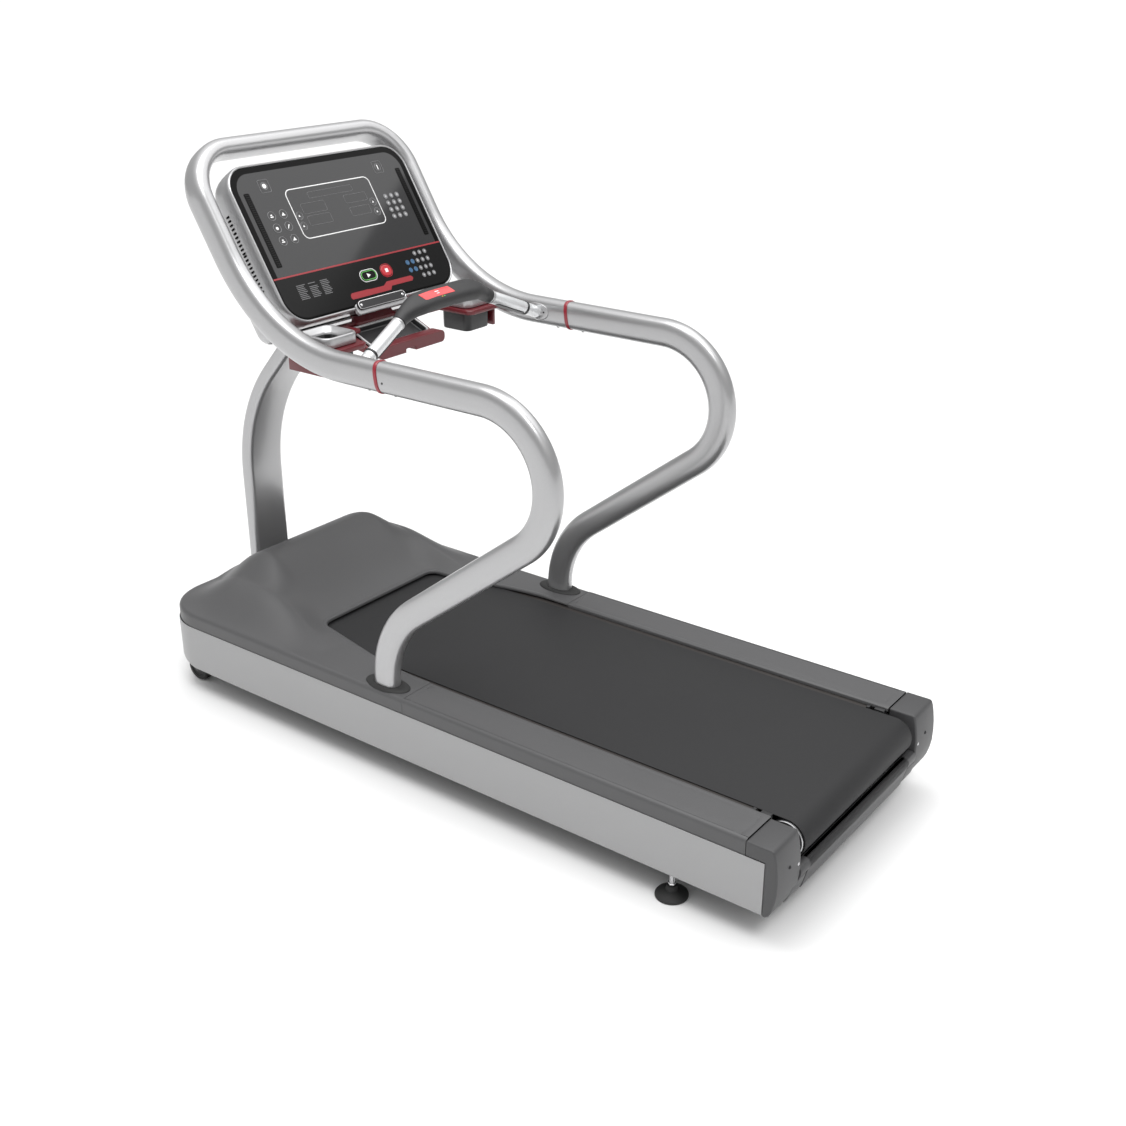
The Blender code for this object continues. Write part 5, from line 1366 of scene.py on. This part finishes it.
for side, label, node in ((-1, "gripLeft", "grip_l"), (1, "gripRight", "grip_r")):
    frameOf, long = gripFrame(gripSpec, side)
    r = gripSpec["radius"]
    body = [(0.0, -0.0040), (r - 0.0018, -0.0040), (r - 0.0006, -0.0034), (r - 0.0004, 0.0),
            (r - 0.0004, 0.0260), (r - 0.0012, 0.0266), (r - 0.0012, 0.0272),
            (r - 0.0002, 0.0278), (r, 0.0300), (r, 0.1000), (r, long - 0.0030), (r - 0.0006, long - 0.0012),
            (r - 0.0022, long), (0.0, long)]
    addPiece(label, placed(turned(body, (0, 0, 0), "Z", 48), frameOf), "gripWhite",
             stands=(node,), sharp=40)
    band = [(r - 0.001, 0.0420), (r + 0.0010, 0.0420), (r + 0.0018, 0.0428), (r + 0.0018, 0.0480),
            (r + 0.0010, 0.0488), (r - 0.001, 0.0488)]
    strip = prism(roundedLoop(0.0530, 0.0078, 0.0074, 6, (0.1030, 0.0)), r - 0.0030, r + 0.0009, "Z", 0.0010, 2)
    turn = Matrix(((0, 0, 1, 0), (0, 1, 0, 0), (1, 0, 0, 0), (0, 0, 0, 1)))
    addPiece(label + "Inserts", merge(placed(ringTurned(band, (0, 0, 0), "Z", 48), frameOf),
                                      placed(strip, frameOf @ turn)), "blackPlastic")
    ringEnd = [(r - 0.002, long - 0.0080), (r + 0.0007, long - 0.0080), (r + 0.0011, long - 0.0070),
               (r + 0.0011, long - 0.0030), (r + 0.0007, long - 0.0020),
               (r - 0.002, long - 0.0020)]
    wall = side * (tubeSpec["x"] - tubeSpec["halfAcross"])
    plateLoop = superOval(0.0380, 0.0235, 2.2, 56)
    rings = []
    for shrink, out in ((0.0, -0.0020), (0.0, 0.0012), (0.0010, 0.0022), (0.0030, 0.0027), (0.0100, 0.0030)):
        rings.append([(wall - side * out, gripSpec["start"][1] + a * (1 - shrink / 0.033),
                       gripSpec["start"][2] - 0.0008 + b * (1 - shrink / 0.033)) for a, b in plateLoop])
    escutcheon = loft(rings)
    boss = placed(turned([(0.0, -0.0120), (0.0200, -0.0120), (0.0196, -0.0070), (0.0172, -0.0022),
                          (0.0, -0.0022)], (0, 0, 0), "Z", 40), frameOf)
    addPiece(label + "Mount", merge(placed(ringTurned(ringEnd, (0, 0, 0), "Z", 48), frameOf), escutcheon, boss),
             "caseSilver")
    screwAt = frameOf @ Matrix.Rotation(math.radians(-64 * side), 4,
                                        "Z") @ Matrix.Translation((r - 0.0004, 0.0,
                                                0.0120)) @ Matrix.Rotation(math.radians(90), 4, "Y")
    dot = turned([(0.0, -0.0010), (0.0026, -0.0010), (0.0026, 0.0002), (0.0021, 0.0005), (0.0, 0.0002)],
                 (0, 0, 0), "Z", 16)
    plateDot = placed(turned([(0.0, -0.0010), (0.0026, -0.0010), (0.0026, 0.0036), (0.0, 0.0036)], (0, 0, 0),
                             "X", 16) if side < 0 else
                      mirrored(turned([(0.0, -0.0010), (0.0026, -0.0010), (0.0026, 0.0036), (0.0, 0.0036)],
                                      (0, 0, 0), "X", 16)),
                      Matrix.Translation((wall, gripSpec["start"][1] - 0.0245, gripSpec["start"][2])))
    addPiece(label + "Screws", merge(placed(dot, screwAt), plateDot), "bezelBlack")


def throughPoints(knots, steps):
    knots = [Vector(k) for k in knots]
    ends = [knots[0] * 2 - knots[1]] + knots + [knots[-1] * 2 - knots[-2]]
    line = []
    for i in range(1, len(ends) - 2):
        a, b, c, d = ends[i - 1:i + 3]
        for k in range(steps):
            t = k / steps
            line.append(0.5 * ((2 * b) + (c - a) * t + (2 * a - 5 * b + 4 * c - d) * t * t + (3 * b - a - 3 * c + d) * t ** 3))
    return line + [knots[-1]]


barSpec = {"knots": ((-0.1752, 0.2321, 1.1654), (-0.1540, 0.2356, 1.1765), (-0.1180, 0.2325, 1.1935),
                     (-0.0700, 0.2300, 1.2005), (0.0, 0.2295, 1.2015)),
           "face": (0.0, -0.52, 0.854), "wide": 0.0300, "deep": 0.0205}


def barPath(spec, steps=8):
    knots = list(spec["knots"])
    knots += [(-x, y, z) for x, y, z in knots[:-1][::-1]]
    line = throughPoints(knots, steps)
    path = []
    count = len(line)
    for i, p in enumerate(line):
        along = (line[min(i + 1, count - 1)] - line[max(i - 1, 0)]).normalized()
        face = Vector(spec["face"])
        face = (face - along * face.dot(along)).normalized()
        across = face.cross(along)
        grow = smooth((0.176 - abs(p.x)) / 0.085)
        path.append((p, across, face, grow))
    return path


def buildBar(spec):
    rings = []
    for p, across, face, grow in barPath(spec):
        wide, deep = 0.0186 + (spec["wide"] - 0.0186) * grow, 0.0186 + (spec["deep"] - 0.0186) * grow
        rings.append([tuple(p + across * a + face * b) for a, b in superOval(wide, deep, 2.0 + 0.9 * grow, 48)])
    return loft(rings)


addPiece("gripBar", buildBar(barSpec), "softBlack", stands=("grip_bar",), sharp=50)
barLine = barPath(barSpec)


def barPatch(x0, x1, a0, a1, raised, thick, steps=14, slant=0.0):
    rings = []
    xs = [p[0].x for p in barLine]
    for i in range(steps + 1):
        x = x0 + (x1 - x0) * i / steps
        k = min(range(len(xs)), key=lambda n: abs(xs[n] - x))
        k2 = min(max(k + (1 if x > xs[k] else -1), 0), len(xs) - 1)
        t = 0 if xs[k2] == xs[k] else (x - xs[k]) / (xs[k2] - xs[k])
        p = barLine[k][0].lerp(barLine[k2][0], t)
        across, face, grow = barLine[k][1], barLine[k][2], barLine[k][3]
        wide, deep = 0.0186 + (barSpec["wide"] - 0.0186) * grow, 0.0186 + (barSpec["deep"] - 0.0186) * grow
        power = 2.0 + 0.9 * grow
        row = []
        for j in range(7):
            a = a0 + (a1 - a0) * j / 6
            high = deep * max(0.0, 1 - abs(a / wide) ** power) ** (1 / power)
            row.append((p + across * a + face * (high + raised), face, Vector((slant * a, 0, 0))))
        rings.append([tuple(q + s) for q, f, s in row] + [tuple(q + s - f * thick) for q, f, s in row[::-1]])
    return loft(rings)


addPiece("barKeyPanel", barPatch(-0.096, 0.008, -0.012, 0.011, 0.0005, 0.0040, 20, -0.35), "brightRed")
marks = [barPatch(-0.0510, -0.0380, 0.0018, 0.0042, 0.0009, 0.0012, 3),
         barPatch(-0.0490, -0.0400, -0.0048, -0.0028, 0.0009, 0.0012, 3)]
addPiece("barKeyMarks", merge(*marks), "printWhite")
addPiece("barAmberMarks", merge(barPatch(-0.0420, -0.0375, -0.0170, -0.0150, 0.0007, 0.0010, 2)), "printAmber")
addPiece("barGreenMarks", merge(barPatch(-0.0340, -0.0290, -0.0170, -0.0150, 0.0007, 0.0010, 2)), "printGreen")
print("grips built")

# cup holders and tray

cupSpec = {"half": 0.0580, "round": 0.0260, "hole": 0.0415, "low": 1.1082, "top": 1.1350, "y": 0.3960,
           "x": 0.2650}


def cupRing(spec, x, inset, z, radius=None):
    loop = roundedLoop(spec["half"] - inset, spec["half"] - inset, max(spec["round"] - inset * 0.8, 0.004), 11)
    if radius is not None:
        loop = [(a / math.hypot(a, b) * radius, b / math.hypot(a, b) * radius) for a, b in loop]
    return [(x + a, spec["y"] + b, z) for a, b in loop]


for side, label, node in ((-1, "cupHolderLeft", "cup_holder_l"), (1, "cupHolderRight", "cup_holder_r")):
    x, top, low, hole = side * cupSpec["x"], cupSpec["top"], cupSpec["low"], cupSpec["hole"]
    shape = ((0.0050, low), (0.0008, low + 0.0005), (0.0, low + 0.0025), (0.0, top - 0.0085),
             (0.0004, top - 0.0042), (0.0016, top - 0.0014), (0.0034, top - 0.0002),
             (0.0054, top), (0.0074, top - 0.0006), (0.0088, top - 0.0022))
    rings = [cupRing(cupSpec, x, inset, z) for inset, z in shape]
    rings += [cupRing(cupSpec, x, 0.0120, z, r) for r,
              z in ((hole + 0.0032, top - 0.0105), (hole + 0.0010, top - 0.0135), (hole, top - 0.0190),
                    (hole, low))]
    addPiece(label, loft(rings, (False, False), True, True), "caseSilver",
             stands=(node,), sharp=42)
    wellShape = ((0.0240, 1.0402), (0.0130, 1.0404), (0.0100, 1.0418), (0.0088, 1.0450), (0.0084, 1.0700),
                 (0.0082, 1.1079))
    rings = [cupRing(cupSpec, x, inset, z) for inset, z in wellShape]
    rings += [cupRing(cupSpec, x, 0.012, z, r) for r,
              z in ((hole - 0.0004, 1.1079), (hole - 0.0004, 1.1180), (hole - 0.0012, 1.1184),
                    (hole - 0.0018, 1.1178),
                                                           (hole - 0.0024, 1.0900), (hole - 0.0036, 1.0500),
                    (hole - 0.0066, 1.0466), (hole - 0.0120, 1.0456))]
    addPiece(label + "Well", loft(rings, (True, True)), "blackPlastic", sharp=42)


def frameSlab(outerHalf, outerCentre, outerRound, innerHalf, innerCentre, innerRound, low, high, soft=0.0018):
    outer = roundedLoop(*outerHalf, outerRound, 10, outerCentre)
    small = roundedLoop(outerHalf[0] - soft * 0.7, outerHalf[1] - soft * 0.7, outerRound, 10, outerCentre)
    inner = roundedLoop(*innerHalf, innerRound, 10, innerCentre)
    rings = [[(a, b, low) for a, b in small], [(a, b, low + soft) for a, b in outer],
             [(a, b, high - soft) for a, b in outer], [(a, b, high) for a, b in small],
             [(a, b, high) for a, b in inner], [(a, b, low) for a, b in inner]]
    return loft(rings, (False, False), True, True)


shelfParts = []
for side in (-1, 1):
    shelfParts.append(frameSlab((0.0690, 0.0930), (side * 0.2655, 0.4115), 0.0200, (0.0504, 0.0504),
                                (side * 0.2650, 0.3960), 0.0204, 1.0942, 1.1068))
    for xNear, xFar, low, high in ((0.1130, 0.1985, (0.4305, 1.0945), (0.5045, 1.1065)),
                                   (0.3237, 0.3338, (0.3455, 1.0405), (0.4695, 1.0995))):
        a, b = sorted((side * xNear, side * xFar))
        shelfParts.append(blockSolid((a, *low), (b, *high), 0.0020, 2))
    a, b = sorted((side * 0.1152, side * 0.1238))
    slope = [(0.3805, 1.0405), (0.4945, 1.0605), (0.4945, 1.0990), (0.4820, 1.0990), (0.3805, 1.0536)]
    shelfParts.append(prism(slope, a, b, "X", 0.0016, 2))
shelfParts.append(blockSolid((-0.1200, 0.4860, 1.0945), (0.1200, 0.5045, 1.1065), 0.0020, 2))
addPiece("trayShelf", merge(*shelfParts), "trayRed", stands=("tray_base",))
lipSpec = {"half": 0.125, "low": 1.036, "high": 1.068, "notch": (-0.028, 0.010), "notchTop": 1.0465,
           "round": 0.013}
lipLoop = arcPoints(lipSpec["half"] - lipSpec["round"], lipSpec["low"] + lipSpec["round"], lipSpec["round"],
                    -90, 0, 12)
lipLoop += arcPoints(lipSpec["half"] - lipSpec["round"], lipSpec["high"] - lipSpec["round"], lipSpec["round"],
                     0, 90, 12)
lipLoop += arcPoints(-lipSpec["half"] + lipSpec["round"], lipSpec["high"] - lipSpec["round"], lipSpec["round"],
                     90, 180, 12)
lipLoop += arcPoints(-lipSpec["half"] + lipSpec["round"], lipSpec["low"] + lipSpec["round"], lipSpec["round"],
                     180, 270, 12)
a, b = lipSpec["notch"]
lipLoop += [(a, lipSpec["low"]), (a, lipSpec["notchTop"] - 0.002), (a + 0.002, lipSpec["notchTop"]),
            (b - 0.002, lipSpec["notchTop"]), (b, lipSpec["notchTop"] - 0.002),
            (b, lipSpec["low"])]
addPiece("trayLip", prism(lipLoop, 0.3500, 0.3880, "Y", 0.0045, 4, 40), "trayRed",
         sharp=42)
neck = loft([[(a, b, z) for a, b in roundedLoop(half, deep, 0.010, 6, (0.0, y))] for half, deep, y, z in
             ((0.0790, 0.0140, 0.4900, 1.1000), (0.0780, 0.0140, 0.4905, 1.1060),
              (0.0720, 0.0130, 0.4960, 1.1105), (0.0700, 0.0125, 0.5030, 1.1190))])
addPiece("trayNeck", neck, "trayRed", sharp=42)

rackPlace = Matrix.Translation((0.0, 0.3965, 1.045)) @ Matrix.Rotation(math.radians(24), 4, "X")
rackProfile = [(0.0050, 0.0), (0.0014, 0.0008), (0.0, 0.0040), (0.0, 0.0160), (0.0010, 0.0170),
               (0.0066, 0.0170), (0.0074, 0.0160), (0.0080, 0.0050), (0.0110, 0.0036)]
rack = roundedSlab(0.1132, 0.0460, 0.0180, rackProfile, (0.0, 0.0460), 8)
addPiece("accessoryRack", placed(rack, rackPlace), "blackPlastic",
         stands=("accessory_tray",))
rimProfile = ((0.0004, 0.0150), (0.0004, 0.0186), (0.0012, 0.0200), (0.0030, 0.0206), (0.0052, 0.0206),
              (0.0066, 0.0196), (0.0070, 0.0180), (0.0070, 0.0150))
rim = [[(a, b, h) for a, b in roundedLoop(0.1136 - inset, 0.0462 - inset, 0.0182 - inset * 0.8, 8,
                                          (0.0, 0.0460))] for inset, h in rimProfile]
addPiece("accessoryRim", placed(loft(rim, (False, False), True, True), rackPlace), "caseSilver")
print("cups and tray built")

# front cover, mains inlet and rocker switch

cover = []
for x0, x1, z0, z1 in ((-0.2676, -0.2255, 0.078, 0.217), (-0.1745, -0.1605, 0.078, 0.217),
                       (-0.1395, 0.2676, 0.078, 0.217), (-0.2256, -0.1744, 0.078, 0.1095),
                       (-0.2256, -0.1744, 0.1505, 0.217), (-0.1606, -0.1394, 0.078, 0.1155),
                       (-0.1606, -0.1394, 0.1445, 0.217)):
    cover.append(blockSolid((x0, 1.0321, z0), (x1, 1.0350, z1), 0.0))
louvre = onGrid("frontLouvres", blockSolid((-0.0640, -0.0011, -0.0012), (0.0640, 0.0011, 0.0012), 0.0006, 2),
                "bezelBlack", 1, 9, 0.01, 0.0080)
addPiece("frontCover", merge(*cover), "hoodGrey", stands=("front_cover",))
addPiece("frontLouvres", placed(louvre, Matrix.Translation((0.030, 1.0350,
                                                            0.1480)) @ Matrix.Rotation(math.radians(90), 4,
                                                                    "X")), "bezelBlack")
inletRings = []
for half, high, y in ((0.0250, 0.0200, 1.0000), (0.0250, 0.0200, 1.0352), (0.0242, 0.0192, 1.0366),
                      (0.0150, 0.0112, 1.0366), (0.0142, 0.0106, 1.0356), (0.0140, 0.0104, 1.0142)):
    inletRings.append([(-0.2000 + a, y, 0.1300 + b) for a, b in roundedLoop(half, high, 0.0030, 4)])
pins = [turned([(0.0, 1.0140), (0.0020, 1.0140), (0.0020, 1.0280), (0.0, 1.0290)],
               (-0.2000 + dx, 0.0, 0.1300 + dz), "Y", 12)
        for dx, dz in ((-0.0070, -0.0020), (0.0070, -0.0020), (0.0, 0.0040))]
addPiece("powerInlet", loft(inletRings), "blackPlastic", stands=("power_inlet",))
addPiece("inletPins", merge(*pins), "steel")
rocker = []
for x in (-0.0094, 0.0094):
    rocker.append([(-0.150 + x, 1.029 + dy, 0.130 + dz) for dy,
                   dz in ((-0.0120, -0.0125), (0.0030, -0.0125), (0.0052, -0.0112), (0.0038, -0.0040),
                          (0.0030, 0.0),
                                                                      (0.0026, 0.0060), (0.0022, 0.0125),
                          (-0.0120, 0.0125))])
addPiece("powerSwitch", loft(rocker), "blackPlastic", "power_switch", ("power_switch",))
hump = [blockSolid((-0.1535, 1.0316, 0.1210), (-0.1465, 1.0336, 0.1224), 0.0),
        blockSolid((-0.1505, 1.0312, 0.1352), (-0.1495, 1.0324, 0.1392), 0.0)]
addPiece("switchMarks", merge(*hump), "printWhite", "power_switch")
print("front built")

# small fixings on the tubes

fixings = []
for side in (-1, 1):
    wall = tubeSpec["x"] + tubeSpec["halfAcross"]
    dot = turned([(0.0, -0.0010), (0.0028, -0.0010), (0.0028, 0.0004), (0.0020, 0.0008), (0.0, 0.0002)],
                 (0, 0, 0), "X", 20)
    dot = dot if side > 0 else mirrored(dot)
    fixings.append(placed(dot, Matrix.Translation((side * wall, 0.0860, 1.0870))))
    under = turned([(0.0, 0.0005), (0.0046, 0.0005), (0.0046, -0.0018), (0.0030, -0.0034), (0.0, -0.0034)],
                   (0, 0, 0), "Z", 20)
    for y in (0.0650, 0.1500):
        fixings.append(placed(under, Matrix.Translation((side * tubeSpec["x"], y,
                                                         tubeSpec["top"] - tubeSpec["halfDeep"]))))
addPiece("tubeScrews", merge(*fixings), "darkRubber")

# floor, light and camera

floorMaterial = bpy.data.materials.new("studioFloor")
floorMaterial.use_nodes = True
floorShader = floorMaterial.node_tree.nodes["Principled BSDF"]
floorShader.inputs["Base Color"].default_value = (0.90, 0.90, 0.90, 1)
floorShader.inputs["Roughness"].default_value = 0.65
floorShader.inputs["Specular IOR Level"].default_value = 0.15
floorMesh = bpy.data.meshes.new("studioFloor")
floorMesh.from_pydata([(-160, -160, 0), (160, -160, 0), (160, 160, 0), (-160, 160, 0)], [], [(0, 1, 2, 3)])
floorMesh.materials.append(floorMaterial)
floor = bpy.data.objects.new("studioFloor", floorMesh)
bpy.context.scene.collection.objects.link(floor)

world = bpy.data.worlds.new("studio")
bpy.context.scene.world = world
world.use_nodes = True
sky = world.node_tree
background = sky.nodes["Background"]
direction = sky.nodes.new("ShaderNodeTexCoord").outputs["Generated"]
axes = sky.nodes.new("ShaderNodeSeparateXYZ")
sky.links.new(direction, axes.inputs[0])
ramp = sky.nodes.new("ShaderNodeValToRGB")
sky.links.new(axes.outputs["Z"], ramp.inputs["Fac"])
skySteps = ((0.0, 0.42), (0.10, 0.45), (0.38, 0.50), (0.66, 0.95), (0.90, 1.50))
ramp.color_ramp.elements[0].position, ramp.color_ramp.elements[1].position = skySteps[0][0], skySteps[-1][0]
for place, level in skySteps[1:-1]:
    ramp.color_ramp.elements.new(place)
for element, (place, level) in zip(ramp.color_ramp.elements, skySteps):
    element.color = (level, level, level, 1)
seen = sky.nodes.new("ShaderNodeLightPath")
shown = sky.nodes.new("ShaderNodeMix")
shown.data_type = "RGBA"
shown.inputs[7].default_value = (1, 1, 1, 1)
sky.links.new(seen.outputs["Is Camera Ray"], shown.inputs["Factor"])
sky.links.new(ramp.outputs["Color"], shown.inputs[6])
sky.links.new(shown.outputs[2], background.inputs["Color"])
background.inputs["Strength"].default_value = 1.0


def addLight(name, kind, at, aim, power, size, sizeY=None):
    data = bpy.data.lights.new(name, kind)
    data.energy = power
    if kind == "AREA":
        data.shape = "RECTANGLE"
        data.size, data.size_y = size, sizeY or size
    if kind == "SUN":
        data.angle = math.radians(size)
    lamp = bpy.data.objects.new(name, data)
    lamp.location = at
    lamp.rotation_euler = (Vector(aim) - Vector(at)).to_track_quat("-Z", "Y").to_euler()
    bpy.context.scene.collection.objects.link(lamp)
    return lamp


addLight("topSoftbox", "AREA", (-0.4, 0.2, 3.6), (0.0, 0.0, 0.6), 40, 1.6, 3.2)
addLight("keySun", "SUN", (-1.9, -3.0, 6.0), (0.0, 0.0, 0.0), 0.8, 20)

# a card seen only in reflections, whose edge crosses the console's face
cardSpec = {"edge": (2.25, -0.83, 2.94), "toward": (0.725, -0.445, 0.527), "along": (-0.471, -0.878, -0.092),
            "wide": 3.2, "high": 1.7, "power": 20.0}
toward = Vector(cardSpec["toward"]).normalized()
along = Vector(cardSpec["along"])
along = (along - toward * along.dot(toward)).normalized()
rise = toward.cross(along)
card = addLight("reflectionCard", "AREA", (0, 0, 3), (0, 0, 0), cardSpec["power"], cardSpec["wide"],
                cardSpec["high"])
middle = Vector(cardSpec["edge"]) - rise * cardSpec["high"] / 2
card.matrix_world = Matrix.Translation(middle) @ Matrix((along, rise, toward)).transposed().to_4x4()
card.visible_camera = False
card.visible_diffuse = False

cameraData = bpy.data.cameras.new("photoView")
cameraData.lens, cameraData.sensor_width = 44.79, 36.0
camera = bpy.data.objects.new("photoView", cameraData)
camera.location = (-2.660, -2.150, 2.032)
camera.rotation_euler = (math.radians(66.03), 0.0, math.radians(-53.0))
bpy.context.scene.collection.objects.link(camera)
bpy.context.scene.camera = camera
bpy.context.scene.view_settings.view_transform = "Standard"
bpy.context.scene.view_settings.look = "None"

print("scene ready")
